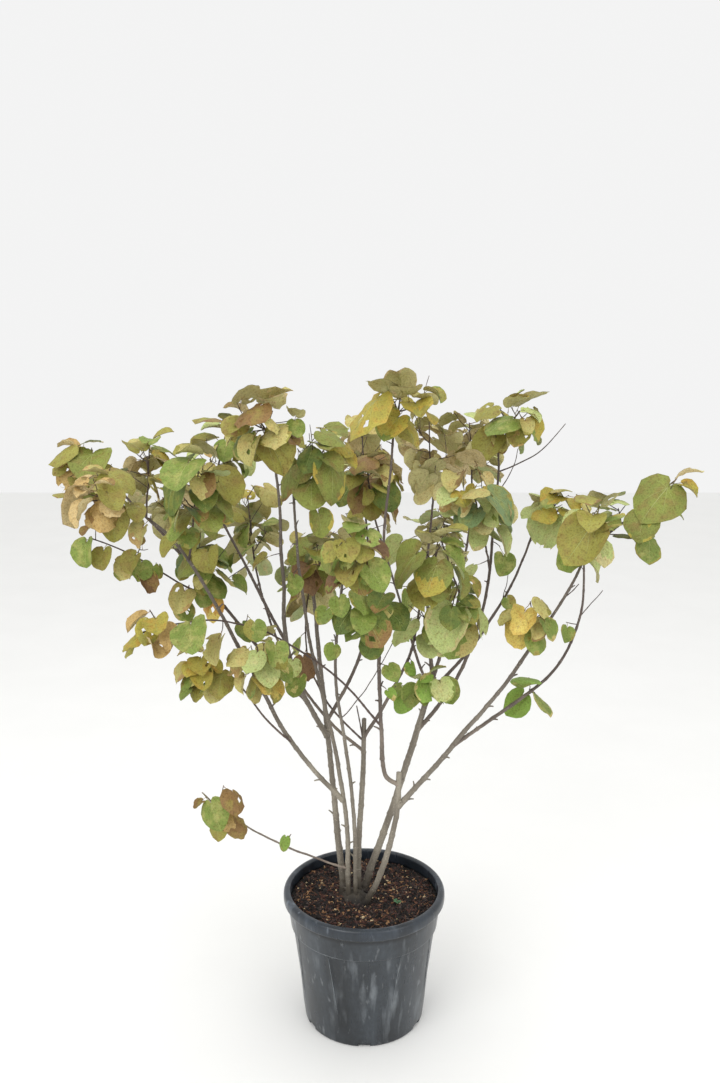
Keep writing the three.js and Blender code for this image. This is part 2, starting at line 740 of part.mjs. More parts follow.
// The shoot, its side twigs and its leaves, all by the same seeded rule.
function growMass(plan, shoot, inRoom, wood, dice) {
  const twigs = [];
  const leaves = [];
  const steps = shoot.points.length - 1;
  const firstLeafy = Math.min(Math.max(Math.ceil(plan.leafy * steps), 1), steps);

  const twigCount = Math.round(plan.leaves / LEAVES_PER_TWIG);
  for (let k = 0; k < twigCount; k += 1) {
    const node = firstLeafy + (k % Math.max(steps - firstLeafy, 1));
    const start = shoot.points[node];
    const ahead = aheadAt(shoot.points, node);
    const side = squareTo(ahead);
    const over = new THREE.Vector3().crossVectors(ahead, side);
    for (let attempt = 0; attempt < TWIG_ROLLS; attempt += 1) {
      const turn = THREE.MathUtils.degToRad(137.5 * k + 120 * dice());
      const away = THREE.MathUtils.degToRad(mix([35, 80], dice()));
      const length = plan.spread * mix([0.4, 0.85], dice());
      const direction = ahead.clone().multiplyScalar(Math.cos(away))
        .addScaledVector(side, Math.sin(away) * Math.cos(turn))
        .addScaledVector(over, Math.sin(away) * Math.sin(turn))
        .addScaledVector(UP, 0.2)
        .normalize();
      const tip = start.clone().addScaledVector(direction, length);
      const points = path(start, { tip: tip.toArray() }, TWIG_NODE_GAP, TWIG_KINK, dice);
      const blocked = lineTouches(start, tip, 12, TWIG_ROOM, wood)
        || twigs.some((other) => other.points.at(-1).distanceTo(tip) < 0.4 * plan.spread);
      if (!blocked && points.slice(1).every(inRoom)) {
        twigs.push({ points, width: TWIG_WIDTH });
        break;
      }
    }
  }

  const allWood = [...wood, ...[shoot, ...twigs].flatMap(segments)];
  const tryLeaf = (joint, size) => {
    const leaf = rollLeaf(joint, size, plan, dice);
    const fits = inRoom(leaf.notch) && outlineOf(leaf).every(inRoom)
      && leaves.every((other) => joint.distanceTo(other.joint) > 4
        && leaf.centre.distanceTo(other.centre) > LEAF.spacing * (size + other.size)
        && !discsCross(leaf, other) && !stalkCrosses(leaf, other) && !stalkCrosses(other, leaf))
      && !discTouches(leaf.centre, leaf.face, LEAF.discRadius * size, allWood)
      && !lineTouches(joint, leaf.notch, 8, STALK_ROOM, wood);
    if (fits) {
      leaves.push(leaf);
    }
    return fits;
  };

  for (let attempt = 0; attempt < TIP_LEAF_ROLLS; attempt += 1) {
    if (tryLeaf(tipJoint(shoot.points), plan.largest * (1 - attempt / (5 * TIP_LEAF_ROLLS)))) {
      break;
    }
  }
  const joints = [
    ...twigs.map((twig) => tipJoint(twig.points)),
    ...jointsAlong(shoot.points, firstLeafy - 1),
    ...twigs.flatMap((twig) => jointsAlong(twig.points, 0)),
  ];
  for (let round = 0; round < LEAF_ROUNDS && leaves.length < plan.leaves; round += 1) {
    for (const joint of joints) {
      const size = mix([LEAF.smallest, plan.largest], dice() ** 1.2);
      if (leaves.length < plan.leaves) {
        tryLeaf(joint, size);
      }
    }
  }
  return { twigs, leaves };
}

// A closed heart-shaped blade with a raised ridge, on a three-sided stalk.
function leafSolid(leaf) {
  const { joint, notch, axis, cross, face, back, size } = leaf;
  const ridge = notch.clone()
    .addScaledVector(axis, LEAF.ridgeAhead * size)
    .addScaledVector(face, LEAF.ridgeHeight * size);
  const [tip, rightBelly, rightLobe, leftLobe, leftBelly] = outlineOf(leaf);
  const rise = new THREE.Vector3().crossVectors(back, cross).normalize();
  if (rise.dot(face.clone().sub(axis)) < 0) {
    rise.negate();
  }
  const corner = (centre, aside, up, share) => centre.clone()
    .addScaledVector(cross, aside * STALK.halfWidth * share)
    .addScaledVector(rise, up * STALK.depth * share);
  const [left, right, top] = [corner(notch, -1, 0, 1), corner(notch, 1, 0, 1), corner(notch, 0, 1, 1)];
  const rootLeft = corner(joint, -1, -0.4, STALK.rootShare);
  const rootRight = corner(joint, 1, -0.4, STALK.rootShare);
  const rootTop = corner(joint, 0, 0.6, STALK.rootShare);
  const faces = [
    [ridge, tip, rightBelly], [ridge, rightBelly, rightLobe], [ridge, rightLobe, right],
    [ridge, right, top], [ridge, top, left],
    [ridge, left, leftLobe], [ridge, leftLobe, leftBelly], [ridge, leftBelly, tip],
    [tip, rightLobe, rightBelly], [tip, right, rightLobe], [tip, left, right],
    [tip, leftLobe, left], [tip, leftBelly, leftLobe],
    [top, right, rootRight], [top, rootRight, rootTop],
    [left, top, rootTop], [left, rootTop, rootLeft],
    [right, left, rootLeft], [right, rootLeft, rootRight],
    [rootLeft, rootTop, rootRight],
  ];
  const geometry = new THREE.BufferGeometry().setFromPoints(faces.flat());
  return solidFrom(geometry);
}

// ---------------------------------------------------------------- the whole plant

const plant = new THREE.Group();

function addNode(name, solid, material) {
  const mesh = new THREE.Mesh(geometryFrom(solid), material);
  mesh.name = name;
  plant.add(mesh);
}

growLimbs();
addNode('pot', makePot(), POT_PLASTIC);
addNode('soil', makeSoil(), COMPOST);
addNode('root_crown', makeRootCrown(), YOUNG_BARK);

const grown = [makeRootCrown(CLEARANCE), makeSoilCutter()];
for (const [name, limb] of Object.entries(limbs)) {
  const sides = name in STEMS ? STEM_SIDES : BOUGH_SIDES;
  const solid = clearedOf(tube(limb, sides), grown);
  addNode(name, solid, name in STEMS ? BARK : YOUNG_BARK);
  grown.push(tube(limb, sides, CLEARANCE));
}

const shoots = {};
const middles = {};
Object.entries(MASSES).forEach(([name, plan], index) => {
  const start = placeOn(limbs[plan.on].points, plan.at);
  const points = path(start, plan, TWIG_NODE_GAP, TWIG_KINK, diceFrom(100 + index));
  shoots[name] = { points, width: SHOOT_WIDTH };
  const stretch = { from: placeOn(points, plan.leafy), to: points.at(-1) };
  const middle = stretch.from.clone().lerp(stretch.to, 0.5);
  middles[name] = { middle, stretch, spread: plan.spread };
});

Object.entries(MASSES).forEach(([name, plan], index) => {
  const shoot = shoots[name];
  const otherShoots = Object.entries(shoots).filter(([other]) => other !== name).map(([, wood]) => wood);
  const wood = [...Object.values(limbs), ...otherShoots].flatMap(segments);
  const { twigs, leaves } = growMass(plan, shoot, roomOf(name, middles), wood, diceFrom(200 + index));
  const pieces = [shoot, ...twigs].map((twig) => tube(twig, TWIG_SIDES));
  const mass = wasm.Manifold.union([...pieces, ...leaves.map(leafSolid)]);
  addNode(name, clearedOf(mass, grown), LEAF_GREENS[index % LEAF_GREENS.length]);
});

export default plant;
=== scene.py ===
"""The looks of a young potted redbud: bark, twigs, leaves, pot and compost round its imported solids.

Growth is worked out in millimetres, by the same seeded rule as the solids, and meshes are in metres.
"""

import math

import bpy
import numpy as np
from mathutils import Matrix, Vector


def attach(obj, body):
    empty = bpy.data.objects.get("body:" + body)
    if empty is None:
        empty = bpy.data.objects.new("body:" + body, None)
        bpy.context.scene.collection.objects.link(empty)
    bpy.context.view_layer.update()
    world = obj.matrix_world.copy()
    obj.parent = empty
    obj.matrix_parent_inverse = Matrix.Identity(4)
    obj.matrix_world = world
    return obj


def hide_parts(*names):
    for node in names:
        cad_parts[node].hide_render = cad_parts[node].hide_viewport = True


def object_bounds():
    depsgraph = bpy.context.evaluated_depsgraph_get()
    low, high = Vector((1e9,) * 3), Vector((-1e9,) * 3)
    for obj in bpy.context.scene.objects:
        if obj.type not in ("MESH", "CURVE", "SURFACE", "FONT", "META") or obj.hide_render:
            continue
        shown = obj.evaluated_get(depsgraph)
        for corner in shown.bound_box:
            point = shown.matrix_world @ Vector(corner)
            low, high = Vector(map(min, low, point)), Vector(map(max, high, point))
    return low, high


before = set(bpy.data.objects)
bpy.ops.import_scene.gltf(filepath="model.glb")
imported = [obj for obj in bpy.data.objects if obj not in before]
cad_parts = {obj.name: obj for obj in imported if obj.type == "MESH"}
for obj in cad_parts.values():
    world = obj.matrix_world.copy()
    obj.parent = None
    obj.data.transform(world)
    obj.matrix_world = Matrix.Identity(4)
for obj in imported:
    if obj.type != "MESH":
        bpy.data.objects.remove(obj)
cad_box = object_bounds()

MM = 0.001
UP = np.array((0.0, 0.0, 1.0))

# ---------------------------------------------------------------- the camera

camera_data = bpy.data.cameras.new("camera")
camera_data.lens = 33.4
camera_data.sensor_width = 36
camera = bpy.data.objects.new("camera", camera_data)
camera.location = (-0.010, -2.257, 1.635)
camera.rotation_euler = (math.radians(90 - 11.05), 0, 0)
bpy.context.scene.collection.objects.link(camera)
bpy.context.scene.camera = camera

# ---------------------------------------------------------------- named sizes, as in the solids

POT_HEIGHT = 333
POT_FOOT = 146
POT_SHOULDER = 186
LIP_RADIUS = 197
LIP_HEIGHT = 27
LIP_BOTTOM = POT_HEIGHT - LIP_HEIGHT
MOUTH_RADIUS = 180
SOIL_MIDDLE = 308
SOIL_EDGE = 305
SOIL_LEVEL_RADIUS = 80
CROWN_X, CROWN_Y = -25, -14
STEM_START = 286

LIMB_NODE_GAP, LIMB_KINK = 86, 2.5
TWIG_NODE_GAP, TWIG_KINK = 50, 2.2
SHOOT_WIDTH = (5, 3.4)
TWIG_WIDTH = (3.6, 3)
TWIG_LEANS = (35, 80)
TWIG_RISE = 0.2
TWIG_TURN = 137.5
TWIG_LENGTHS = (0.4, 0.85)
TWIG_TRIES = 8
LEAVES_PER_TWIG = 4.8

LEAF_SMALLEST = 44
LEAF_SPACING = 0.3
LEAF_DROOPS = (30, 84)
LEAF_LEANS = (-32, 32)
LEAF_FAN = 150
TIP_LEAF_TRIES = 40
LEAF_ROUNDS = 24
STALK_SHARE = (0.35, 0.6)
DISC_AHEAD = 0.42
DISC_RADIUS = 0.6
CROSS_RADIUS = 0.52
JOINT_SHARES = (0.28, 0.72)
TIP_INSET = 3
JOINT_GAP = 4
LEAF_ROOM = 5
STALK_ROOM = 3
TWIG_ROOM = 4
STALK_START, TWIG_START = 8, 12  # the first stretch of a stalk or twig, which may touch the wood it is on
WOOD_STEP = 5
MASS_ROOM = 1

# ---------------------------------------------------------------- the plans, as in the solids


def cell(word):
    """What a cell of a table holds: a word, a number, or several of them between commas."""
    parts = [float(part) if part.lstrip("-")[:1].isdigit() else part for part in word.split(",")]
    return tuple(parts) if len(parts) > 1 else parts[0]


def rows_of(table):
    """The rows of a table, keyed by the words of its first line, less what a dash leaves out."""
    keys, *rows = [line.split() for line in table.strip().splitlines()]
    return [{key: cell(word) for key, word in zip(keys, row) if word != "-"} for row in rows]


def plans_of(table):
    return {row.pop("name"): row for row in rows_of(table)}


# Lengths are in millimetres and angles in degrees. at is how far along its wood a limb or a mass starts,
# leafy is where along its shoot a mass begins, and largest is its largest blade.
STEMS = plans_of("""
name             foot    tip            bow       sway      width
stem_left        -48,-2  -125,70,1085   0,-5,0    0,0,0     18,8
stem_dark_left   -37,-24 -150,-170,1340 5,45,-5   15,-5,10  13,5
stem_slender     -20,-22 -40,-290,1215  -20,70,15 15,-10,25 11,5
stem_cut         -16,2   0,30,755       0,5,0     0,0,0     16,11
stem_right       -10,20  170,90,840     5,0,0     0,0,0     18,14
stem_front_right -8,-35  80,-90,670     25,-5,-5  0,0,0     15,12
""")

BOUGHS = plans_of("""
name                  on                 at    tip            bow         sway     width
bough_left_upright    stem_left          0.53  -190,-230,1450 -40,20,-10  -15,0,-5 13,4.5
bough_far_left_high   bough_left_upright 0.14  -595,60,1335   -5,30,0     -5,0,0   9,4.5
bough_left_leaning    bough_left_upright 0.35  -370,130,1270  10,-5,-15   0,0,0    8,5
bough_back_centre     stem_left          0.57  5,230,1205     55,-5,-10   5,5,10   9,5
bough_far_left_low    stem_dark_left     0.27  -500,-170,1310 -5,-5,35    0,5,-50  12,4.5
bough_front_centre    stem_cut           0.9   120,-170,1100  30,20,0     0,0,5    9,5
bough_back_left       stem_cut           0.83  -285,340,1050  -40,-5,-30  0,0,-5   8,5
bough_right_upright   stem_right         0.985 175,260,1250   -15,0,0     0,0,0    10,5
bough_back_right      stem_right         0.97  285,340,1240   15,10,-15   0,0,-5   9,5
bough_right_rising    stem_right         0.92  415,150,1200   25,5,-20    -5,0,-10 9,4.5
bough_centre_crossing stem_right         0.94  25,60,1235     0,-25,-10   -5,0,5   7,4.5
bough_right_tall      stem_right         0.76  305,40,1425    70,10,-20   10,0,-5  10,4.5
bough_elbow           stem_front_right   0.92  40,-100,710    -10,0,-10   0,0,0    10,9.5
bough_centre_tall     bough_elbow        0.97  60,-190,1475   -20,-70,-15 0,10,30  9.5,4.5
bough_far_right       stem_front_right   0.78  465,-190,1200  20,0,-15    0,0,5    13,5
bough_far_right_low   bough_far_right    0.28  495,-40,1175   80,10,-60   0,5,20   9,4.5
""")

# denser isn't from the solids: it is how many times their leaves a mass carries here.
MASSES = plans_of("""
name                on                    at   tip leafy spread leaves faces largest denser bow sway droops
leaves_far_left     bough_far_left_high   1    -655,30,1365 0.2 82 9 -80 100 1.7
leaves_left_top     bough_far_left_high   0.82 -515,150,1395 0.3 92 10 80 80 1.9
leaves_left_tan     bough_far_left_low    1    -575,-205,1320 0.1 85 9 -100 88 2
leaves_left_low     bough_far_left_high   0.49 -620,-35,1210 0.6 70 6 -110 62 1.8 20,5,-20 5,5,-15
leaves_left_back    bough_far_left_high   0.68 -475,260,1265 0.4 95 10 100 85 2.3
leaves_left_front   bough_far_left_low    0.72 -330,-280,1390 0.45 92 12 -90 98 2.3
leaves_left_inner   bough_far_left_high   0.51 -385,0,1180 0.3 80 8 -60 72 2.3
leaves_left_pair    bough_centre_tall     0.1  -488,-190,1030 0.88 80 6 -100 82 1.1 55,-60,110 0,5,-15
leaves_left_under   bough_far_left_low    0.24 -370,-150,915 0.8 68 7 -120 75 2.3 5,-30,55 0,5,-25
leaves_under_gold   bough_far_left_low    0.38 -225,-245,1020 0.4 80 8 -95 98 2.3
leaves_crown_left   bough_left_leaning    1    -325,100,1430 0.2 95 12 -70 92 2.3
leaves_crown_front  bough_left_upright    1    -210,-255,1490 -1.2 92 12 -90 86 2.3
leaves_crown_middle stem_dark_left        1    -85,-150,1420 0.1 95 11 -85 100 2.3
leaves_back_left    bough_back_left       1    -310,400,1240 0.2 105 11 110 90 2.3
leaves_back_centre  stem_cut              0.88 -120,300,1170 0.72 98 11 90 88 2.3 -85,-20,-15 -15,5,5
leaves_dark_pair    bough_centre_tall     0.42 -15,-265,1120 0.3 78 7 -90 80 1.5
leaves_inner_brown  stem_left             1    -85,0,1175 0.2 84 10 -80 78 2
leaves_front_centre stem_slender          1    10,-365,1235 0.1 92 10 -90 90 1.9
leaves_top          bough_centre_tall     1    72,-190,1530 -0.8 92 9 -90 105 2.3 - - -65,60
leaves_top_back     bough_back_centre     1    -5,240,1435 0.3 98 11 95 86 2.3
leaves_centre       bough_centre_crossing 1    5,40,1370 0.1 84 9 -60 80 2.3
leaves_right_top    bough_right_upright   1    160,220,1450 0.3 98 11 60 82 2.3
leaves_back_top     bough_back_right      1    270,330,1440 0.3 98 11 85 84 2.3
leaves_back_right   bough_back_right      0.5  190,400,1170 0.5 95 10 75 84 2.3
leaves_far_top      bough_right_tall      1    350,20,1490 0 85 9 -70 84 2
leaves_right_front  bough_right_tall      0.59 230,-150,1335 0.6 95 12 -90 90 2.3
leaves_middle       bough_front_centre    1    150,-260,1235 0.2 88 11 -90 102 1.8
leaves_low_right    bough_front_centre    0.72 225,-150,1095 0.3 98 12 -85 98 1.9
leaves_low_green    bough_front_centre    0.3  165,-130,905 0.4 64 8 -70 62 1.6
leaves_right_inner  bough_right_rising    1    475,120,1255 0 84 8 -80 88 1.6
leaves_right_big    bough_far_right       1    480,-225,1312 0.1 84 8 -90 100 1.5
leaves_far_right    bough_far_right_low   1    688,-55,1345 0.3 84 8 -80 98 1.6 - - -20,70
leaves_right_gold   bough_far_right       0.76 330,-160,1075 0.1 78 5 -75 66 1.2
leaves_right_low    bough_far_right_low   0.35 386,-60,862 0.4 88 2 -80 66 1.5
leaves_low_sprig    stem_dark_left        0.1  -368,-130,640 0.8 68 5 -90 62 1.1 -10,-5,-20 5,0,0
""")

# ---------------------------------------------------------------- what grows only here

FINE_NODE_GAP, FINE_KINK = 25, 1.5
FINE_WIDTH = (2, 1.4)
FINE_PER_LEAF = 0.55
FINE_LENGTHS = (0.25, 0.75)
FINE_SIZES = (0.4, 0.95)
FINE_SPACINGS = (0.42, 0.38, 0.34, 0.3, 0.27, 0.24, 0.22, 0.2)
RISING_SHARE = 0.3
RISING_DROOPS = (-35, 50)
BARE_NODE_GAP, BARE_KINK = 30, 2.0
LONE_PLAN = {"faces": -90, "droops": (50, 88)}
LONE_SPACING = 0.16
LONE_REACH = 170
LONE_TRIES = 60

BARE_TWIGS = plans_of("""
name              on                  at   tip           bow      width
right_fork        bough_right_tall    0.9  452,10,1462   12,0,-14 3.6,1.8
right_fork_side   bough_right_tall    0.94 292,20,1452   4,0,4    2.4,1.6
right_fork_low    bough_right_tall    0.83 352,45,1402   8,0,-6   2.6,1.6
middle_thin       stem_slender        0.55 66,-150,1010  6,0,-10  2.6,1.6
left_thin         bough_far_left_high 0.55 -452,40,1180  0,0,4    2.4,1.6
cut_stub          stem_cut            0.84 -18,22,790    0,0,0    4,3
far_right_stub    bough_far_right     0.86 462,-150,1130 0,0,0    2.6,1.8
far_right_side    bough_far_right_low 0.78 540,-45,1090  0,0,0    2.4,1.6
right_rising_side bough_right_rising  0.6  345,90,1100   0,0,-4   2.4,1.6
""")

# Lone leaves on short spurs: the wood each is on, how far along, the spur's tip, the blade and its colour.
LONE_LEAVES = rows_of("""
on at tip size colour
leaves_left_low 0.66 -519,-17,1145 52 brown
leaves_left_low 0.56 -478,-3,1145 29 green
leaves_left_front 0.3 -378,-195,1241 50 olive
bough_far_left_high 0.62 -434,53,1124 31 green
leaves_left_inner 0.76 -373,2,1150 53 olive_green
leaves_left_inner 0.98 -345,-11,1189 61 olive
bough_left_leaning 0.58 -322,42,1097 45 green
leaves_left_low 0.34 -445,25,1054 49 green
leaves_left_low 0.28 -410,29,1085 58 khaki
bough_far_left_high 0.5 -347,48,1076 59 orange
leaves_left_pair 0.8 -341,-234,1083 72 green
bough_far_left_high 0.36 -306,36,991 45 deep_green
leaves_left_pair 0.64 -243,-238,1086 40 green
leaves_left_pair 0.72 -298,-238,1048 60 khaki
leaves_left_pair 0.52 -181,-234,1034 48 green
bough_left_upright 0.32 -168,-46,928 37 pale_green
leaves_back_centre 0.46 -143,122,895 56 red_brown
bough_left_upright 0.26 -144,-32,894 49 green
leaves_left_pair 0.9 -414,-220,1038 44 brown
bough_left_leaning 0.68 -300,59,1152 36 deep_green
leaves_back_left 0.62 -315,365,1161 51 green
bough_left_upright 0.66 -202,-133,1189 41 olive
stem_dark_left 0.84 -155,-132,1147 41 green
stem_slender 0.88 -72,-234,1100 34 green
stem_slender 0.92 -45,-255,1129 39 green
leaves_back_centre 0.54 -154,143,931 43 green
stem_slender 0.8 -72,-196,1019 33 green
leaves_front_centre 0.84 3,-365,1219 29 green
bough_centre_crossing 0.66 102,33,1081 54 green
bough_centre_crossing 0.46 85,37,989 34 bright_green
bough_centre_tall 0.32 46,-194,961 37 green
bough_front_centre 0.6 107,-82,935 30 bright_green
leaves_low_green 0.42 97,-76,872 35 green
bough_centre_tall 0.24 46,-176,903 25 bright_green
bough_right_upright 0.8 125,214,1165 72 pale_green
leaves_low_sprig 0.42 -171,-86,515 31 bright_green
leaves_top_back 0.12 -47,219,1222 62 olive
stem_dark_left 0.98 -94,-176,1309 52 olive_green
bough_right_tall 0.68 318,48,1173 49 green
leaves_right_front 0.12 269,25,1136 40 pale_green
leaves_right_inner 0.7 412,117,1285 64 khaki
leaves_far_right 0.54 631,-61,1219 55 green
leaves_back_right 0.14 220,239,1028 49 olive_green
bough_back_right 0.98 276,323,1227 59 khaki
leaves_right_top 0.38 140,233,1317 57 beige
leaves_left_tan 0.38 -525,-194,1321 60 olive
bough_far_left_low 0.9 -452,-174,1277 52 khaki
leaves_right_gold 0.44 376,-173,1069 45 green
bough_far_right_low 0.76 455,-67,1022 34 green
leaves_top_back 0.18 2,220,1241 52 olive
leaves_low_right 0.44 165,-134,1026 38 green
leaves_back_left 0.98 -288,387,1271 61 khaki
bough_right_rising 0.64 342,117,1048 33 green
""")

# What each mass is dealt: colours and their weights, and the colour of the leaf at its tip if it is set.
SPRAYS = plans_of("""
name tip spray
leaves_far_left khaki khaki,1,olive_green,3,tan,1,olive,3,brown,2,green,1
leaves_left_top - olive,2,green,2,khaki,2,brown,1,gold_olive,1
leaves_left_tan pale_tan pale_tan,3,tan,3,khaki,1,olive,2,brown,1
leaves_left_low - olive,3,green,2,brown,1,tan,1,khaki,1
leaves_left_back - olive,3,gold_olive,2,khaki,2,brown,1,green,1
leaves_left_front deep_green deep_green,2,green,4,olive_green,2,olive,1,khaki,1
leaves_left_inner - blue_green,1,green,3,olive,2,pale_green,1,khaki,1
leaves_left_pair - tan,3,khaki,2,gold_olive,1,olive,1,brown,1
leaves_left_under - khaki,2,olive,3,green,2,gold_olive,1,tan,1
leaves_under_gold gold khaki,3,olive,2,green,2,gold,1,pale_green,1
leaves_crown_left - olive,2,khaki,2,pale_green,2,green,2
leaves_crown_front olive khaki,3,olive,3,brown,1,beige,1,green,1
leaves_crown_middle - olive_green,4,deep_green,3,gold_olive,2,olive,1
leaves_back_left - olive,3,green,2,gold_olive,2
leaves_back_centre - olive,3,brown,1,green,2,khaki,2
leaves_dark_pair deep_green deep_green,5,green,2
leaves_inner_brown - brown,1,red_brown,2,olive,3,olive_green,3,green,1
leaves_front_centre - olive,3,green,3,red_brown,1,olive_green,2
leaves_top gold_olive gold_olive,4,olive,3,khaki,1
leaves_top_back - khaki,3,beige,3,olive,1,pale_green,2
leaves_centre - brown,2,olive,2,deep_green,2,khaki,1
leaves_right_top - beige,4,khaki,3,pale_green,3,olive,1
leaves_back_top - beige,4,khaki,2,pale_green,4,olive,1
leaves_back_right - olive,2,khaki,2,green,2,pale_green,1
leaves_far_top - green,2,pale_green,2,olive,1,gold_olive,2,khaki,1
leaves_right_front - gold_olive,1,pale_green,3,beige,2,blue_green,2,khaki,1
leaves_middle - olive,2,olive_green,3,green,2,pale_green,1,khaki,1
leaves_low_right pale_green green,3,pale_green,4,olive,1,deep_green,1
leaves_low_green - bright_green,3,green,2,pale_green,1
leaves_right_inner - pale_green,3,khaki,2,gold_olive,2,olive,1
leaves_right_big olive olive,2,green,2,gold_olive,2,pale_green,1
leaves_far_right olive_green olive_green,2,gold_olive,2,green,2,beige,1,pale_green,1
leaves_right_gold gold gold,1,green,3,khaki,2
leaves_right_low - bright_green,2,green,1
leaves_low_sprig - brown,2,green,2,olive,1,tan,1
""")

# ---------------------------------------------------------------- small tools


def mix(low_high, share):
    return low_high[0] + (low_high[1] - low_high[0]) * share


def dice_from(seed):
    """A repeatable run of numbers from 0 to 1, as in the solids."""
    state = (seed * 7919 + 12345) % 2147483647

    def roll():
        nonlocal state
        state = state * 48271 % 2147483647
        return state / 2147483647

    roll()
    roll()
    return roll


def angles(count):
    return np.arange(count) * 2 * math.pi / count


def unit(direction):
    return direction / np.linalg.norm(direction)


def square_to(direction):
    helper = UP if abs(direction[2]) < 0.8 else np.array((1.0, 0.0, 0.0))
    return unit(np.cross(helper, direction))


def path(start, plan, node_gap, kink, dice):
    """A line with an even bow and an even sway, kinked aside at its nodes."""
    tip = np.array(plan["tip"], float)
    bow = np.array(plan.get("bow", (0, 0, 0)), float)
    sway = np.array(plan.get("sway", (0, 0, 0)), float)
    steps = max(2, int(np.linalg.norm(tip - start) / node_gap + 0.5))
    points = []
    for i in range(steps + 1):
        t = i / steps
        point = start + (tip - start) * t + bow * 4 * t * (1 - t) + sway * math.sin(2 * math.pi * t)
        aside = np.array([dice() - 0.5, dice() - 0.5, dice() - 0.5])
        if 0 < i < steps:
            point = point + aside * 2 * kink
        points.append(point)
    return np.array(points)


def place_on(points, share):
    steps = len(points) - 1
    first = min(max(math.floor(share * steps), 0), steps - 1)
    return points[first] + (points[first + 1] - points[first]) * (share * steps - first)


def ahead_at(points, i):
    return unit(points[min(i + 1, len(points) - 1)] - points[max(i - 1, 0)])


# ---------------------------------------------------------------- the growth rule of the solids


class Wood:
    """Straight pieces of wood, each with the radius of its thicker end."""

    def __init__(self, lines):
        self.lines = lines
        starts, ends, radii = [], [], []
        for points, width in lines:
            steps = len(points) - 1
            starts.extend(points[:-1])
            ends.extend(points[1:])
            radii.extend(mix(width, i / steps) / 2 for i in range(steps))
        self.start, self.end, self.radius = np.array(starts), np.array(ends), np.array(radii)
        self.line = self.end - self.start
        self.square = (self.line**2).sum(1)

    def distances(self, points):
        """The distance of each point to each piece."""
        offset = points[:, None] - self.start[None]
        share = np.clip((offset * self.line).sum(2) / self.square, 0, 1)
        return np.linalg.norm(offset - share[..., None] * self.line, axis=2)

    def meets_disc(self, centre, face, radius):
        near = self.distances(centre[None])[0] <= radius + self.radius + LEAF_ROOM
        for k in np.flatnonzero(near):
            count = math.ceil(math.sqrt(self.square[k]) / 8)
            offset = self.start[k] + self.line[k] * (np.arange(count + 1) / count)[:, None] - centre
            height = offset @ face
            outward = np.sqrt(np.maximum((offset**2).sum(1) - height**2, 0))
            gap = np.hypot(height, np.maximum(outward - radius, 0))
            if (gap < self.radius[k] + LEAF_ROOM).any():
                return True
        return False

    def meets_line(self, start, end, skip, room):
        """Whether a line comes near the wood, once it is past its first stretch."""
        length = np.linalg.norm(end - start)
        along = np.arange(skip, length + 1e-9, WOOD_STEP)
        if not len(along):
            return False
        points = start + (end - start) * (along / length)[:, None]
        return bool((self.distances(points) < self.radius + room).any())


def distance_to_stretch(points, start, end):
    line = end - start
    share = np.clip((points - start) @ line / (line @ line), 0, 1)
    return np.linalg.norm(points - start - share[:, None] * line, axis=1)


class Room:
    """The space of a mass: a capsule about its leafy stretch, less what lies nearer another mass."""

    def __init__(self, name, middles):
        self.middle, self.start, self.end, self.spread = middles[name]
        others = [v for n, v in middles.items() if n != name]
        self.middles = np.array([v[0] for v in others])
        self.weights = np.array([v[3] ** 2 for v in others])
        self.gaps = np.linalg.norm(self.middles - self.middle, axis=1)

    def holds(self, points):
        points = np.atleast_2d(points)
        own = ((points - self.middle) ** 2).sum(1) - self.spread**2
        other = ((points[:, None] - self.middles) ** 2).sum(2) - self.weights
        apart = (other - own[:, None] > 2 * MASS_ROOM * self.gaps).all()
        return bool(apart and (distance_to_stretch(points, self.start, self.end) < self.spread).all())


class Anywhere:
    """The room of a lone leaf, which no mass bounds."""

    def holds(self, points):
        return True


def discs_cross(one, other):
    gap = np.linalg.norm(one["centre"] - other["centre"])
    if gap > CROSS_RADIUS * (one["size"] + other["size"]):
        return False
    line = np.cross(one["face"], other["face"])
    length = np.linalg.norm(line)
    if length < 0.05:
        return abs((other["centre"] - one["centre"]) @ one["face"]) < LEAF_ROOM
    line = line / length
    in_plane = np.cross(line, one["face"])
    height = (other["centre"] - one["centre"]) @ other["face"]
    shared = one["centre"] + in_plane * height / (in_plane @ other["face"])
    ends = []
    for leaf in (one, other):
        along = (leaf["centre"] - shared) @ line
        aside = np.linalg.norm(leaf["centre"] - shared - line * along)
        half = math.sqrt(max((CROSS_RADIUS * leaf["size"]) ** 2 - aside**2, 0))
        ends.append((along - half, along + half, half))
    (a0, a1, a), (b0, b1, b) = ends
    return a > 0 and b > 0 and a0 < b1 and b0 < a1


def stalk_crosses(stalk, disc):
    before = (stalk["joint"] - disc["centre"]) @ disc["face"]
    after = (stalk["notch"] - disc["centre"]) @ disc["face"]
    if before * after > 0:
        return False
    point = stalk["joint"] + (stalk["notch"] - stalk["joint"]) * before / (before - after)
    return np.linalg.norm(point - disc["centre"]) < DISC_RADIUS * disc["size"]


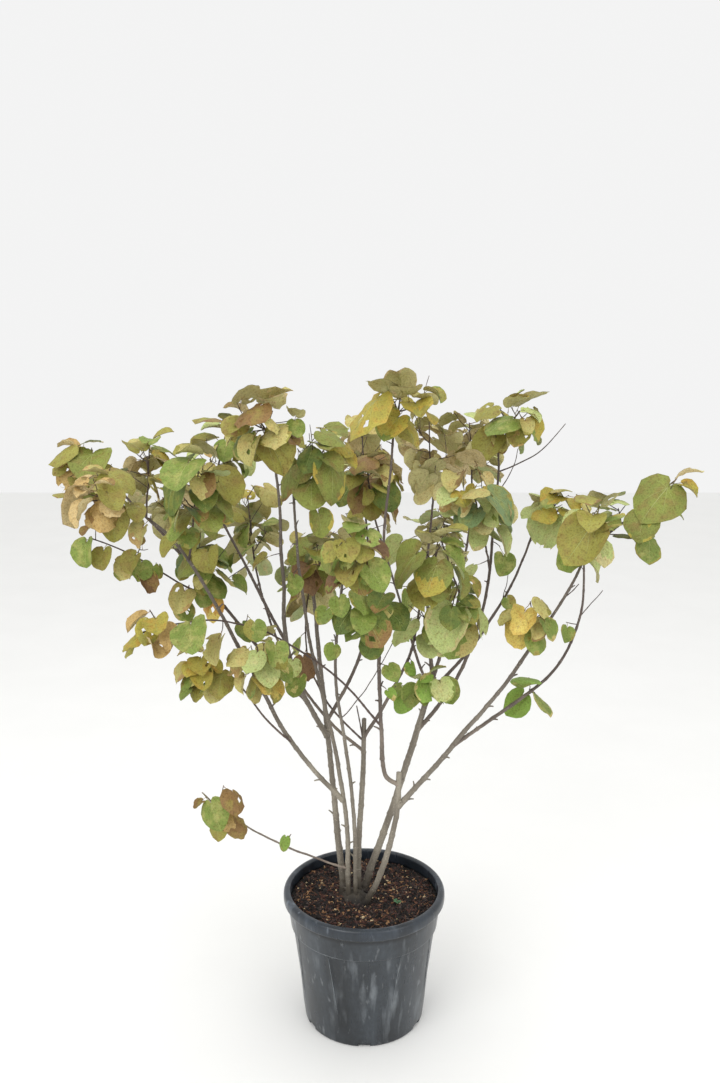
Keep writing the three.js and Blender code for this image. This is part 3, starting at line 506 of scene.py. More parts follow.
def roll_leaf(joint, size, plan, dice):
    heading = math.radians(plan["faces"] + LEAF_FAN * (dice() - 0.5))
    droop = math.radians(mix(plan.get("droops", LEAF_DROOPS), dice()))
    lean = math.radians(mix(LEAF_LEANS, dice()))
    outward = np.array((math.cos(heading), math.sin(heading), 0))
    level = np.array((-math.sin(heading), math.cos(heading), 0))
    down = outward * math.cos(droop) - UP * math.sin(droop)
    axis = down * math.cos(lean) + level * math.sin(lean)
    cross = level * math.cos(lean) - down * math.sin(lean)
    face = np.cross(axis, cross)
    back = axis * -mix((0.35, 1), dice())
    back = back - face * mix((0, 0.9), dice())
    back = unit(back + cross * mix((-0.4, 0.4), dice()))
    notch = joint - back * size * mix(STALK_SHARE, dice())
    centre = notch + axis * DISC_AHEAD * size
    return dict(joint=joint, notch=notch, centre=centre, axis=axis, cross=cross, face=face, size=size)


def outline_of(leaf):
    places = np.array([(1, 0), (0.38, 0.52), (-0.12, 0.3), (-0.12, -0.3), (0.38, -0.52)]) * leaf["size"]
    return leaf["notch"] + places[:, :1] * leaf["axis"] + places[:, 1:] * leaf["cross"]


def joints_along(points, first=0):
    return [
        points[i] + (points[i + 1] - points[i]) * share
        for i in range(first, len(points) - 1)
        for share in JOINT_SHARES
    ]


def tip_joint(points):
    line = points[-2] - points[-1]
    return points[-1] + line * TIP_INSET / np.linalg.norm(line)


class Site:
    """Where leaves are tried: their room, the wood they keep clear of and the leaves already there."""

    def __init__(self, room, limbs_wood, all_wood, leaves):
        self.room, self.limbs_wood, self.all_wood, self.leaves = room, limbs_wood, all_wood, leaves

    def try_leaf(self, joint, size, plan, dice, spacing=LEAF_SPACING):
        leaf = roll_leaf(joint, size, plan, dice)
        fits = (
            self.room.holds(np.vstack([leaf["notch"], outline_of(leaf)]))
            and all(
                np.linalg.norm(joint - other["joint"]) > JOINT_GAP
                and np.linalg.norm(leaf["centre"] - other["centre"]) > spacing * (size + other["size"])
                and not discs_cross(leaf, other)
                and not stalk_crosses(leaf, other)
                and not stalk_crosses(other, leaf)
                for other in self.leaves
            )
            and not self.all_wood.meets_disc(leaf["centre"], leaf["face"], DISC_RADIUS * size)
            and not self.limbs_wood.meets_line(joint, leaf["notch"], STALK_START, STALK_ROOM)
        )
        if fits:
            self.leaves.append(leaf)
        return fits


def first_leafy_node(plan, shoot):
    steps = len(shoot) - 1
    return min(max(math.ceil(plan["leafy"] * steps), 1), steps)


def roll_direction(ahead, turn, dice):
    """The direction of a side twig, at a turn about its parent, leaning away from it and rising."""
    side = square_to(ahead)
    over = np.cross(ahead, side)
    away = math.radians(mix(TWIG_LEANS, dice()))
    aside = side * math.cos(turn) + over * math.sin(turn)
    return unit(ahead * math.cos(away) + aside * math.sin(away) + UP * TWIG_RISE)


def far_apart(twigs, tip, gap):
    return all(np.linalg.norm(other[-1] - tip) >= gap for other in twigs)


def grow_mass(plan, shoot, room, limbs_wood, dice):
    """The shoot's side twigs and its leaves, as in the solids."""
    twigs = []
    first_leafy = first_leafy_node(plan, shoot)
    for k in range(int(plan["leaves"] / LEAVES_PER_TWIG + 0.5)):
        node = first_leafy + (k % max(len(shoot) - 1 - first_leafy, 1))
        start = shoot[node]
        for _ in range(TWIG_TRIES):
            turn = math.radians(TWIG_TURN * k + 120 * dice())
            direction = roll_direction(ahead_at(shoot, node), turn, dice)
            tip = start + direction * (plan["spread"] * mix(TWIG_LENGTHS, dice()))
            points = path(start, {"tip": tip}, TWIG_NODE_GAP, TWIG_KINK, dice)
            if (
                far_apart(twigs, tip, 0.4 * plan["spread"])
                and room.holds(points[1:])
                and not limbs_wood.meets_line(start, tip, TWIG_START, TWIG_ROOM)
            ):
                twigs.append(points)
                break
    all_wood = Wood(limbs_wood.lines + [(shoot, SHOOT_WIDTH)] + [(t, TWIG_WIDTH) for t in twigs])
    site = Site(room, limbs_wood, all_wood, [])
    for attempt in range(TIP_LEAF_TRIES):
        if site.try_leaf(tip_joint(shoot), plan["largest"] * (1 - attempt / 200), plan, dice):
            site.leaves[-1]["first"] = True
            break
    joints = [tip_joint(twig) for twig in twigs]
    joints += joints_along(shoot, first_leafy - 1)
    joints += [joint for twig in twigs for joint in joints_along(twig)]
    for _ in range(LEAF_ROUNDS):
        if len(site.leaves) >= plan["leaves"]:
            break
        for joint in joints:
            size = mix((LEAF_SMALLEST, plan["largest"]), dice() ** 1.2)
            if len(site.leaves) < plan["leaves"]:
                site.try_leaf(joint, size, plan, dice)
    return twigs, site.leaves


def grow_finer(plan, shoot, twigs, leaves, room, limbs_wood, dice):
    """Carries the rule on to finer twigs and smaller leaves, within the same space."""
    fine = []
    first_leafy = first_leafy_node(plan, shoot)
    parents = [shoot[first_leafy - 1 :]] + twigs
    wanted = round(plan["leaves"] * plan["denser"])
    for k in range(round(plan["leaves"] * FINE_PER_LEAF * plan["denser"])):
        parent = parents[k % len(parents)]
        start = place_on(parent, mix((0.15, 0.95), dice()))
        ahead = unit(parent[-1] - parent[0])
        for _ in range(TWIG_TRIES):
            direction = roll_direction(ahead, 2 * math.pi * dice(), dice)
            tip = start + direction * plan["spread"] * mix(FINE_LENGTHS, dice())
            points = path(start, {"tip": tip}, FINE_NODE_GAP, FINE_KINK, dice)
            if (
                far_apart(fine, tip, 0.25 * plan["spread"])
                and room.holds(points[1:])
                and not limbs_wood.meets_line(start, tip, TWIG_START, TWIG_ROOM)
            ):
                fine.append(points)
                break
    wood = [(shoot, SHOOT_WIDTH)] + [(t, TWIG_WIDTH) for t in twigs] + [(t, FINE_WIDTH) for t in fine]
    site = Site(room, limbs_wood, Wood(limbs_wood.lines + wood), leaves)
    joints = [(tip_joint(twig), i) for i, twig in enumerate(fine)]
    joints += [(joint, i) for i, twig in enumerate(fine) for joint in joints_along(twig)]
    joints += [(joint, None) for joint in joints_along(shoot, first_leafy - 1)]
    joints += [(joint, None) for twig in twigs for joint in joints_along(twig)]
    rising = dict(plan, droops=RISING_DROOPS)
    leafed = set()
    for spacing in np.repeat(FINE_SPACINGS, 2):
        for joint, twig in joints:
            size = mix(FINE_SIZES, dice()) * plan["largest"]
            stance = rising if dice() < RISING_SHARE else plan
            if len(leaves) < wanted and site.try_leaf(joint, size, stance, dice, spacing):
                leafed.add(twig)
    return [twig for i, twig in enumerate(fine) if i in leafed]


limbs = {}
for index, (name, plan) in enumerate((STEMS | BOUGHS).items()):
    if "foot" in plan:
        start = np.array((*plan["foot"], STEM_START))
    else:
        start = place_on(limbs[plan["on"]][0], plan["at"])
    limbs[name] = (path(start, plan, LIMB_NODE_GAP, LIMB_KINK, dice_from(1 + index)), plan["width"])

shoots, middles = {}, {}
for index, (name, plan) in enumerate(MASSES.items()):
    start = place_on(limbs[plan["on"]][0], plan["at"])
    shoots[name] = path(start, plan, TWIG_NODE_GAP, TWIG_KINK, dice_from(100 + index))
    leafy_from, tip = place_on(shoots[name], plan["leafy"]), shoots[name][-1]
    middles[name] = ((leafy_from + tip) / 2, leafy_from, tip, plan["spread"])

masses = {}
for index, (name, plan) in enumerate(MASSES.items()):
    limbs_wood = Wood([*limbs.values()] + [(s, SHOOT_WIDTH) for n, s in shoots.items() if n != name])
    room = Room(name, middles)
    dice = dice_from(200 + index)
    twigs, leaves = grow_mass(plan, shoots[name], room, limbs_wood, dice)
    fine = grow_finer(plan, shoots[name], twigs, leaves, room, limbs_wood, dice)
    masses[name] = dict(twigs=twigs, fine=fine, leaves=leaves)

wood = [*limbs.values()] + [(shoot, SHOOT_WIDTH) for shoot in shoots.values()]
limbs_wood = Wood(wood)
all_twigs = [twig for mass in masses.values() for twig in mass["twigs"] + mass["fine"]]
all_wood = Wood(wood + [(twig, TWIG_WIDTH) for twig in all_twigs])
lone_leaves = []
for index, row in enumerate(LONE_LEAVES):
    on, at, tip, size, colour = row.values()
    start = place_on(limbs[on][0] if on in limbs else shoots[on], at)
    tip = np.array(tip, float)
    dice = dice_from(600 + index)
    spur = path(start, {"tip": tip}, FINE_NODE_GAP, FINE_KINK, dice)
    every = [leaf for mass in masses.values() for leaf in mass["leaves"]] + [leaf for leaf, *_ in lone_leaves]
    near = [leaf for leaf in every if np.linalg.norm(leaf["centre"] - tip) < LONE_REACH]
    nearest = min(middles, key=lambda name: np.linalg.norm(middles[name][0] - tip))
    site = Site(Anywhere(), limbs_wood, all_wood, near)
    for _ in range(LONE_TRIES):
        if site.try_leaf(tip_joint(spur), size, LONE_PLAN, dice, LONE_SPACING):
            lone_leaves.append((near[-1], spur, nearest, colour))
            break

# ---------------------------------------------------------------- materials


def tone(hex_colour, factor=1.0):
    """A colour in linear light, made darker or paler by a factor."""
    channels = [int(hex_colour[i : i + 2], 16) / 255 for i in (1, 3, 5)]
    linear = [c / 12.92 if c <= 0.04045 else ((c + 0.055) / 1.055) ** 2.4 for c in channels]
    return tuple(min(c * factor, 1.0) for c in linear) + (1.0,)


def grey(level):
    return (level, level, level, 1.0)


BLACK, WHITE = grey(0), grey(1)


class Look:
    """A Principled material in the making, its textures laid by the piece's own coordinates."""

    def __init__(self, name, roughness):
        self.material = bpy.data.materials.new(name)
        self.material.use_nodes = True
        self.tree = self.material.node_tree
        self.shader = self.tree.nodes["Principled BSDF"].inputs
        self.shader["Roughness"].default_value = roughness
        self.place = self.add("TexCoord").outputs["Object"]

    def add(self, kind, inputs=None):
        """A shader node. Each of its inputs is linked to an output or set to a value."""
        node = self.tree.nodes.new("ShaderNode" + kind)
        for name, value in (inputs or {}).items():
            self.feed(node.inputs[name], value)
        return node

    def feed(self, socket, value):
        if isinstance(value, bpy.types.NodeSocket):
            self.tree.links.new(value, socket)
        else:
            socket.default_value = value

    def noise(self, scale, detail=3.0, stretch=None):
        node = self.add("TexNoise", {"Scale": scale, "Detail": detail})
        place = self.place
        if stretch is not None:
            place = self.add("Mapping", {"Scale": stretch, "Vector": place}).outputs["Vector"]
        self.feed(node.inputs["Vector"], place)
        return node.outputs["Fac"]

    def ramp(self, value, *stops):
        """A colour ramp over a value, from (place, colour) stops."""
        node = self.add("ValToRGB", {"Fac": value})
        elements = node.color_ramp.elements
        elements[0].position, elements[0].color = stops[0]
        elements[1].position, elements[1].color = stops[-1]
        for position, colour in stops[1:-1]:
            elements.new(position).color = colour
        return node.outputs["Color"]

    def blend(self, share, first, second, mode="MIX"):
        node = self.add("Mix")
        node.data_type = "RGBA"
        node.blend_type = mode
        for socket, value in (("Factor", share), (6, first), (7, second)):
            self.feed(node.inputs[socket], value)
        return node.outputs[2]

    def times(self, first, second):
        return self.blend(1.0, first, second, "MULTIPLY")

    def roughness_from(self, value, low, high):
        node = self.add("MapRange", {"To Min": low, "To Max": high, "Value": value})
        self.feed(self.shader["Roughness"], node.outputs["Result"])

    def height_share(self, low, high):
        """How far up between two heights in metres a point lies, from 0 to 1."""
        split = self.add("SeparateXYZ", {"Vector": self.place})
        inputs = {"From Min": low, "From Max": high, "Value": split.outputs["Z"]}
        return self.add("MapRange", inputs).outputs["Result"]

    def done(self, tint, height, strength, distance):
        """The material, with its colour and its relief."""
        self.feed(self.shader["Base Color"], tint)
        relief = self.add("Bump", {"Strength": strength, "Distance": distance, "Height": height})
        self.feed(self.shader["Normal"], relief.outputs["Normal"])
        return self.material


def leaf_material(name, colour, mottle, fade):
    """A matt leaf: a plain base colour, clouded with a paler tone, flecked, and netted with small veins."""
    look = Look("leaf_" + name, 0.55)
    broad = look.noise(13.0)
    tint = look.ramp(broad, (0.36, tone(colour, 1 - mottle)), (0.64, tone(colour, 1 + mottle)))
    cloud = look.noise(46.0, 5.0)
    tint = look.blend(look.ramp(cloud, (0.46, BLACK), (0.72, grey(0.62))), tint, tone(fade))
    fine = look.noise(210.0, 4.0)
    tint = look.times(tint, look.ramp(fine, (0.52, WHITE), (0.72, (0.66, 0.56, 0.42, 1))))
    net = look.add("TexVoronoi", {"Scale": 190.0, "Vector": look.place})
    net.feature = "DISTANCE_TO_EDGE"
    edge = net.outputs["Distance"]
    tint = look.times(tint, look.ramp(edge, (0.02, (1.16, 1.16, 1.1, 1)), (0.2, grey(0.95))))
    look.shader["Specular IOR Level"].default_value = 0.3
    look.roughness_from(cloud, 0.5, 0.72)
    return look.done(tint, edge, 0.4, 0.0008)


def bark_material(name, low, high, dark, scar, fissure):
    """Smooth bark that is near black just above the compost and lightens over the next ten centimetres up,
    then pale below and dark on young wood, in long patches, with scars and pores.
    """
    look = Look(name, 0.75)
    tint = look.ramp(
        look.height_share(0.303, 1.1),
        (0.02, tone(dark, 0.16)),
        (0.042, tone(low, 0.34)),
        (0.08, tone(low, 0.82)),
        (0.13, tone(low)),
        (0.45, tone(low)),
        (0.8, tone(high)),
    )
    patches = look.noise(24.0, 5.0, (1.0, 1.0, 0.28))
    tint = look.blend(look.ramp(patches, (0.42, grey(0.55)), (0.62, BLACK)), tint, tone(dark))
    fine = look.noise(420.0, 3.0, (1.0, 1.0, 0.5))
    tint = look.times(tint, look.ramp(fine, (0.3, (0.76, 0.74, 0.72, 1)), (0.62, grey(1.06))))
    pores = look.add("TexVoronoi", {"Scale": 130.0, "Vector": look.place}).outputs["Distance"]
    tint = look.blend(look.ramp(pores, (0.10, grey(0.8)), (0.2, BLACK)), tint, tone(scar))
    look.roughness_from(fine, 0.6, 0.9)
    return look.done(tint, look.noise(160.0, 5.0, (1.0, 1.0, 0.25)), fissure, 0.0012)


def plain_material(name, colour, roughness, vary=0.2, scale=150.0, bump_strength=0.3):
    look = Look(name, roughness)
    spread = look.noise(scale, 4.0)
    tint = look.ramp(spread, (0.3, tone(colour, 1 - vary)), (0.7, tone(colour, 1 + vary)))
    look.roughness_from(spread, roughness - 0.08, min(roughness + 0.1, 1.0))
    return look.done(tint, look.noise(scale * 3), bump_strength, 0.0006)


def pot_material():
    """Scuffed charcoal plastic: dull dust in long streaks, pale rubs, and water marks, with painted shade in
    a band just under the lip.
    """
    look = Look("pot_plastic", 0.36)
    dust = look.noise(8.0, 6.0, (1.6, 1.6, 0.4))
    tint = look.ramp(dust, (0.34, tone("#1f2327")), (0.66, tone("#393f45")))
    streak = look.noise(42.0, 7.0, (1.0, 1.0, 0.1))
    pale = look.ramp(streak, (0.53, BLACK), (0.7, grey(0.6)))
    zone = look.ramp(look.noise(8.5, 2.0), (0.44, BLACK), (0.58, WHITE))
    tint = look.blend(look.times(pale, zone), tint, tone("#858b90"))
    rubs = look.noise(75.0, 8.0, (1.0, 1.0, 0.35))
    tint = look.blend(look.ramp(rubs, (0.62, BLACK), (0.74, grey(0.5))), tint, tone("#8f9396"))
    grime = look.noise(150.0, 4.0, (1.0, 1.0, 0.6))
    tint = look.times(tint, look.ramp(grime, (0.3, grey(0.8)), (0.7, grey(1.1))))
    # Painted shade: the wall darkens in a band just under the lip, fading in from 288 mm up and darkest from
    # 298 to 306 mm, and the lip above is tinted darker and bluer.
    painted_shade, lip = (0.3, 0.31, 0.33, 1), (0.78, 0.84, 0.93, 1)
    levels = (0.2, WHITE), (0.45, painted_shade), (0.66, painted_shade), (0.7, lip)
    tint = look.times(tint, look.ramp(look.height_share(0.28, 0.32), *levels))
    look.roughness_from(streak, 0.16, 0.46)
    return look.done(tint, look.noise(240.0, 4.0), 0.12, 0.0005)


# ---------------------------------------------------------------- meshes from arrays


class Batch:
    """Faces of one kind, gathered and then made into one joined mesh."""

    def __init__(self):
        self.points, self.faces, self.count = [], [], 0

    def add(self, points, *face_sets):
        points = np.asarray(points, float).reshape(-1, 3)
        self.points.append(points)
        self.faces += [np.asarray(faces, np.int64) + self.count for faces in face_sets]
        self.count += len(points)

    def make(self, name, material, smooth=True):
        points = np.vstack(self.points) * MM
        corners = np.concatenate([faces.ravel() for faces in self.faces])
        sizes = np.concatenate([np.full(len(faces), faces.shape[1]) for faces in self.faces])
        mesh = bpy.data.meshes.new(name)
        mesh.vertices.add(len(points))
        mesh.vertices.foreach_set("co", points.astype(np.float32).ravel())
        mesh.loops.add(len(corners))
        mesh.loops.foreach_set("vertex_index", corners.astype(np.int32))
        mesh.polygons.add(len(sizes))
        starts = np.concatenate([[0], np.cumsum(sizes)[:-1]])
        mesh.polygons.foreach_set("loop_start", starts.astype(np.int32))
        mesh.polygons.foreach_set("use_smooth", np.full(len(sizes), smooth))
        mesh.update(calc_edges=True)
        mesh.validate()
        mesh.materials.append(material)
        piece = bpy.data.objects.new(name, mesh)
        bpy.context.scene.collection.objects.link(piece)
        return piece

    def dress(self, name, material, slot, nodes, smooth=True):
        """Makes a piece that replaces some nodes of the frame and rides on the body."""
        piece = self.make(name, material, smooth)
        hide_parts(*nodes)
        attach(piece, "root")


def grid_faces(rows, columns, closed=True):
    """Quads between the points of a grid. A closed grid joins its last column to its first."""
    i, j = np.meshgrid(np.arange(rows - 1), np.arange(columns if closed else columns - 1), indexing="ij")
    i, j = i.ravel(), j.ravel()
    k = (j + 1) % columns
    return np.stack([i * columns + j, i * columns + k, (i + 1) * columns + k, (i + 1) * columns + j], 1)


def smooth_line(points, gap):
    """Points every gap or so along a smooth curve through the given ones, and their shares."""
    padded = np.vstack([2 * points[0] - points[1], points, 2 * points[-1] - points[-2]])
    out, shares = [], []
    pieces = len(points) - 1
    for i in range(pieces):
        a, b, c, d = padded[i : i + 4]
        count = max(1, int(np.linalg.norm(c - b) / gap + 0.5))
        t = (np.arange(count) / count)[:, None]
        curve = 2 * b + (c - a) * t + (2 * a - 5 * b + 4 * c - d) * t**2 + (3 * b - a - 3 * c + d) * t**3
        out.append(0.5 * curve)
        shares.append((i + t[:, 0]) / pieces)
    return np.vstack(out + [points[-1:]]), np.concatenate(shares + [[1.0]])


def lengths_along(line):
    return np.cumsum(np.r_[0, np.linalg.norm(np.diff(line, axis=0), axis=1)])


def frames_along(line):
    """Two directions square to the line at each of its points, which turn as little as they can."""
    ahead = np.gradient(line, axis=0)
    ahead /= np.linalg.norm(ahead, axis=1, keepdims=True)
    across = np.empty_like(line)
    across[0] = square_to(ahead[0])
    for i in range(1, len(line)):
        across[i] = unit(across[i - 1] - ahead[i] * (across[i - 1] @ ahead[i]))
    return ahead, across, np.cross(ahead, across)


def rings_about(line, radius, turn, across, over):
    """A ring of points round each point of a line, at some turns, from two directions square to it."""
    return line[:, None] + radius[..., None] * (
        np.cos(turn)[None, :, None] * across[:, None] + np.sin(turn)[None, :, None] * over[:, None]
    )


def add_tube(batch, line, radii, sides, rng=None, relief=0.0):
    """A closed tube with rounded ends. relief is how far its skin swells and sinks, as a share."""
    ahead, across, over = frames_along(line)
    turn = angles(sides)
    radius = np.repeat(np.asarray(radii, float)[:, None], sides, 1)
    if relief:
        along = lengths_along(line)[:, None]
        for k, pitch in ((1, 61.0), (2, 37.0), (3, 19.0)):
            phase, drift = rng.uniform(0, 2 * math.pi, 2)
            radius = radius * (1 + relief * np.sin(k * turn + phase + along / pitch + drift) / k)
        radius = radius * (1 + 0.35 * relief * rng.standard_normal(radius.shape))
    rings = rings_about(line, radius, turn, across, over)
    first = line[0] - ahead[0] * radii[0] * 0.3
    last = line[-1] + ahead[-1] * radii[-1] * 0.5
    count = len(line) * sides
    around = np.arange(sides)
    following = (around + 1) % sides
    top = (len(line) - 1) * sides
    caps = np.vstack([
        np.stack([following, around, np.full(sides, count)], 1),
        np.stack([top + around, top + following, np.full(sides, count + 1)], 1),
    ])
    batch.add(np.vstack([rings.reshape(-1, 3), first, last]), grid_faces(len(line), sides), caps)


def add_bud(batch, place, direction, size):
    """A small pointed bud: a short tube that swells and closes."""
    shares = np.array([0.0, 0.3, 0.7, 1.0])
    line = place + direction * (shares * size * 2.2)[:, None]
    add_tube(batch, line, size * np.array([0.5, 0.62, 0.42, 0.08]), 5)


# ---------------------------------------------------------------- bark, from the limbs' own lines

STEM_SIDES, BOUGH_SIDES = 16, 12
STEM_FLARE, BOUGH_FLARE = 0.35, 0.3
PALE_BOUGH_WIDTH = 11.5
SPUR_SHARE, SPUR_LENGTHS = 0.3, (5, 16)
TWIG_NODES = 21
SHOOT_BARK, LOW_SHOOT_BARK = (5, 2.8), (5.4, 3)  # the widths of twigs of each kind, at both ends
SIDE_TWIG_BARK, FINE_TWIG_BARK, SPUR_BARK = (3.2, 2.0), (2.2, 1.4), (2.4, 1.6)
LOW_SPRIG = "leaves_low_sprig"

buds = Batch()


def limb_radii(line, shares, width, start_flare, rng):
    """Taper, a flare at the foot, and a swelling at every growth node."""
    along = lengths_along(line)
    radii = mix(width, shares) / 2 * (1 + start_flare * np.exp(-along / 11))
    nodes = []
    at = 24 + 14 * rng.random()
    while at < along[-1] - 8:
        nodes.append(at)
        radii = radii * (1 + (0.1 + 0.1 * rng.random()) * np.exp(-(((along - at) / 3.2) ** 2)))
        at += 30 + 24 * rng.random()
    return radii, along, nodes


def add_spurs(batch, line, radii, along, nodes, rng):
    """Buds and short side spurs at the growth nodes, on one side and then on the other."""
    ahead, across, over = frames_along(line)
    turn = rng.uniform(0, 2 * math.pi)
    for at in nodes:
        turn += math.pi + rng.uniform(-0.7, 0.7)
        i = int(np.searchsorted(along, at))
        aside = across[i] * math.cos(turn) + over[i] * math.sin(turn)
        start = line[i] + aside * radii[i] * 0.7
        if rng.random() < SPUR_SHARE:
            lift = rng.uniform(0.3, 1.0)
            length = rng.uniform(*SPUR_LENGTHS)
            tip = start + unit(aside + ahead[i] * lift) * length
            bend = (start + tip) / 2 + ahead[i] * length * 0.06
            spur, _ = smooth_line(np.array([start, bend, tip]), 4)
            width = min(radii[i] * 0.42, 1.9)
            add_tube(batch, spur, np.linspace(width * 1.25, width * 0.8, len(spur)), 7, rng, 0.05)
        elif radii[i] < 5:
            add_bud(buds, start, unit(aside + ahead[i]), 1.5)


BARK = bark_material("bark_grey", "#989183", "#6b625a", "#5b534a", "#aca391", 0.5)
YOUNG_BARK = bark_material("bark_brown", "#94897c", "#5f544e", "#4b413c", "#9a8f82", 0.5)
TWIG_BARK = bark_material("bark_twig", "#776960", "#54463f", "#3b2f2d", "#85776c", 0.35)
LOW_TWIG_BARK = bark_material("bark_low_twig", "#93877b", "#7d7067", "#5b4f47", "#a89c8e", 0.35)

for index, (name, (points, width)) in enumerate(limbs.items()):
    rng = np.random.default_rng(1000 + index)
    stem = name in STEMS
    if stem:  # the bark starts a little below the stem's own line
        points = np.vstack([points[0] - (points[1] - points[0]) * 0.25, points])
    line, shares = smooth_line(points, 3.5)
    wobble = np.cumsum(rng.standard_normal(line.shape), axis=0) * 0.12
    wobble -= wobble[0] + shares[:, None] * (wobble[-1] - wobble[0])
    line = line + wobble
    radii, along, nodes = limb_radii(line, shares, width, STEM_FLARE if stem else BOUGH_FLARE, rng)
    batch = Batch()
    add_tube(batch, line, radii, STEM_SIDES if stem else BOUGH_SIDES, rng, 0.055)
    add_spurs(batch, line, radii, along, nodes, rng)
    bark = BARK if stem or width[0] > PALE_BOUGH_WIDTH else YOUNG_BARK
    batch.dress("bark_" + name, bark, "bark" if stem else "young_bark", [name])

twig_batch, low_twig_batch = Batch(), Batch()
rng = np.random.default_rng(77)


def add_twig(points, width, gap=7, sides=6, batch=twig_batch):
    """A thin twig that zigzags a little from node to node, with a bud at each."""
    line, shares = smooth_line(points, gap)
    zigzag = np.sin(np.arange(len(line)) * math.pi * gap / TWIG_NODES) * 0.7
    side = square_to(unit(points[-1] - points[0]))
    line = line + side * (zigzag * np.minimum(shares * 6, 1))[:, None]
    radii = mix(width, shares) / 2
    along = lengths_along(line)
    nodes = np.arange(14, along[-1] - 4, TWIG_NODES)
    for at in nodes:
        radii = radii * (1 + 0.22 * np.exp(-(((along - at) / 2.4) ** 2)))
    add_tube(batch, line, radii, sides, rng, 0.05)
    ahead, across, _ = frames_along(line)
    for k, at in enumerate(nodes):
        i = int(np.searchsorted(along, at))
        aside = across[i] * (1 if k % 2 else -1)
        add_bud(buds, line[i] + aside * radii[i] * 0.7, unit(aside + ahead[i] * 0.8), 0.9)


for index, plan in enumerate(BARE_TWIGS.values()):
    start = place_on(limbs[plan["on"]][0], plan["at"])
    add_twig(path(start, plan, BARE_NODE_GAP, BARE_KINK, dice_from(400 + index)), plan["width"])
for name, mass in masses.items():
    low = name == LOW_SPRIG
    width, batch = (LOW_SHOOT_BARK, low_twig_batch) if low else (SHOOT_BARK, twig_batch)
    add_twig(shoots[name], width, sides=8, batch=batch)
    for twig in mass["twigs"]:
        add_twig(twig, SIDE_TWIG_BARK)
    for twig in mass["fine"]:
        add_twig(twig, FINE_TWIG_BARK, gap=5)
for _, spur, _, _ in lone_leaves:
    add_twig(spur, SPUR_BARK)

# ---------------------------------------------------------------- leaves

# Plain base colours of the leaves, how dry each kind is, and the tones it fades to in patches.
LEAF_COLOURS = {
    "deep_green": ("#596a2f", 0.05, ("olive", "brown")),
    "green": ("#74853d", 0.08, ("khaki", "olive")),
    "blue_green": ("#70855a", 0.08, ("olive", "green")),
    "bright_green": ("#7e9c44", 0.05, ("green", "khaki")),
    "olive_green": ("#7c843f", 0.12, ("brown", "gold_olive")),
    "olive": ("#918d44", 0.2, ("brown", "tan", "green")),
    "gold_olive": ("#a59b45", 0.25, ("orange", "green", "olive")),
    "khaki": ("#b0a969", 0.45, ("tan", "brown", "olive")),
    "beige": ("#c3bb86", 0.6, ("tan", "khaki")),
    "pale_green": ("#acb876", 0.25, ("beige", "green")),
    "tan": ("#b59a63", 0.8, ("brown", "pale_tan")),
    "pale_tan": ("#c6b080", 1.0, ("tan", "brown")),
    "gold": ("#c2b05e", 0.5, ("orange", "olive")),
    "orange": ("#b98a40", 0.6, ("gold", "olive")),
    "brown": ("#83673f", 0.8, ("olive", "red_brown")),
    "red_brown": ("#71563b", 0.8, ("brown", "olive_green")),
}
UNDERSIDES = {"green": "#a0ab77", "olive": "#b3ad7a", "tan": "#c8b78c"}
UNDERSIDE_FADE = "#b3a57c"
UNDERSIDE_OF = {
    name: "tan" if dry > 0.45 else "olive" if dry > 0.15 else "green"
    for name, (_, dry, _) in LEAF_COLOURS.items()
}
VEIN_COLOURS = {"fresh": "#a0a564", "dry": "#b7a26d", "brown": "#93734c"}
STALK_COLOURS = {"fresh": "#7d7440", "dry": "#83603c"}

# The outline of a blade: how far it reaches from its notch on each ray. Some rays carry veins.
RAY_ANGLES = (0, 8, 17, 27, 42, 58, 78, 98, 116, 134, 150, 164, 172)
RAY_REACH = (1.0, 0.945, 0.9, 0.855, 0.79, 0.715, 0.62, 0.52, 0.43, 0.365, 0.3, 0.2, 0.07)
VEIN_RAYS = (0, 3, 5, 7, 9)
VEIN_THICKNESS = (1.0, 0.72, 0.66, 0.55, 0.4)
HALF_RAYS = np.radians(RAY_ANGLES)
VEIN_ANGLES = HALF_RAYS[list(VEIN_RAYS)]
REACH = np.concatenate([RAY_REACH[:0:-1], RAY_REACH])
MIDDLE_RAY = len(HALF_RAYS) - 1
RAYS = np.concatenate([-HALF_RAYS[:0:-1], HALF_RAYS])
RINGS = np.array([0.2, 0.4, 0.6, 0.78, 0.91, 1.0])
BLADE_FACES = grid_faces(len(RINGS), len(RAYS), False)
HALF_THICK = 0.22
TORN_SHARE = 0.16
FADED_SHARE = 0.42
SMALL_VEINS_FROM = 50
SHRINK, SHRINK_TRIES = 0.94, 12
# The part's box in millimetres, with a millimetre to spare.
BOX_LOW, BOX_HIGH = np.array(cad_box) / MM + [[1.0], [-1.0]]


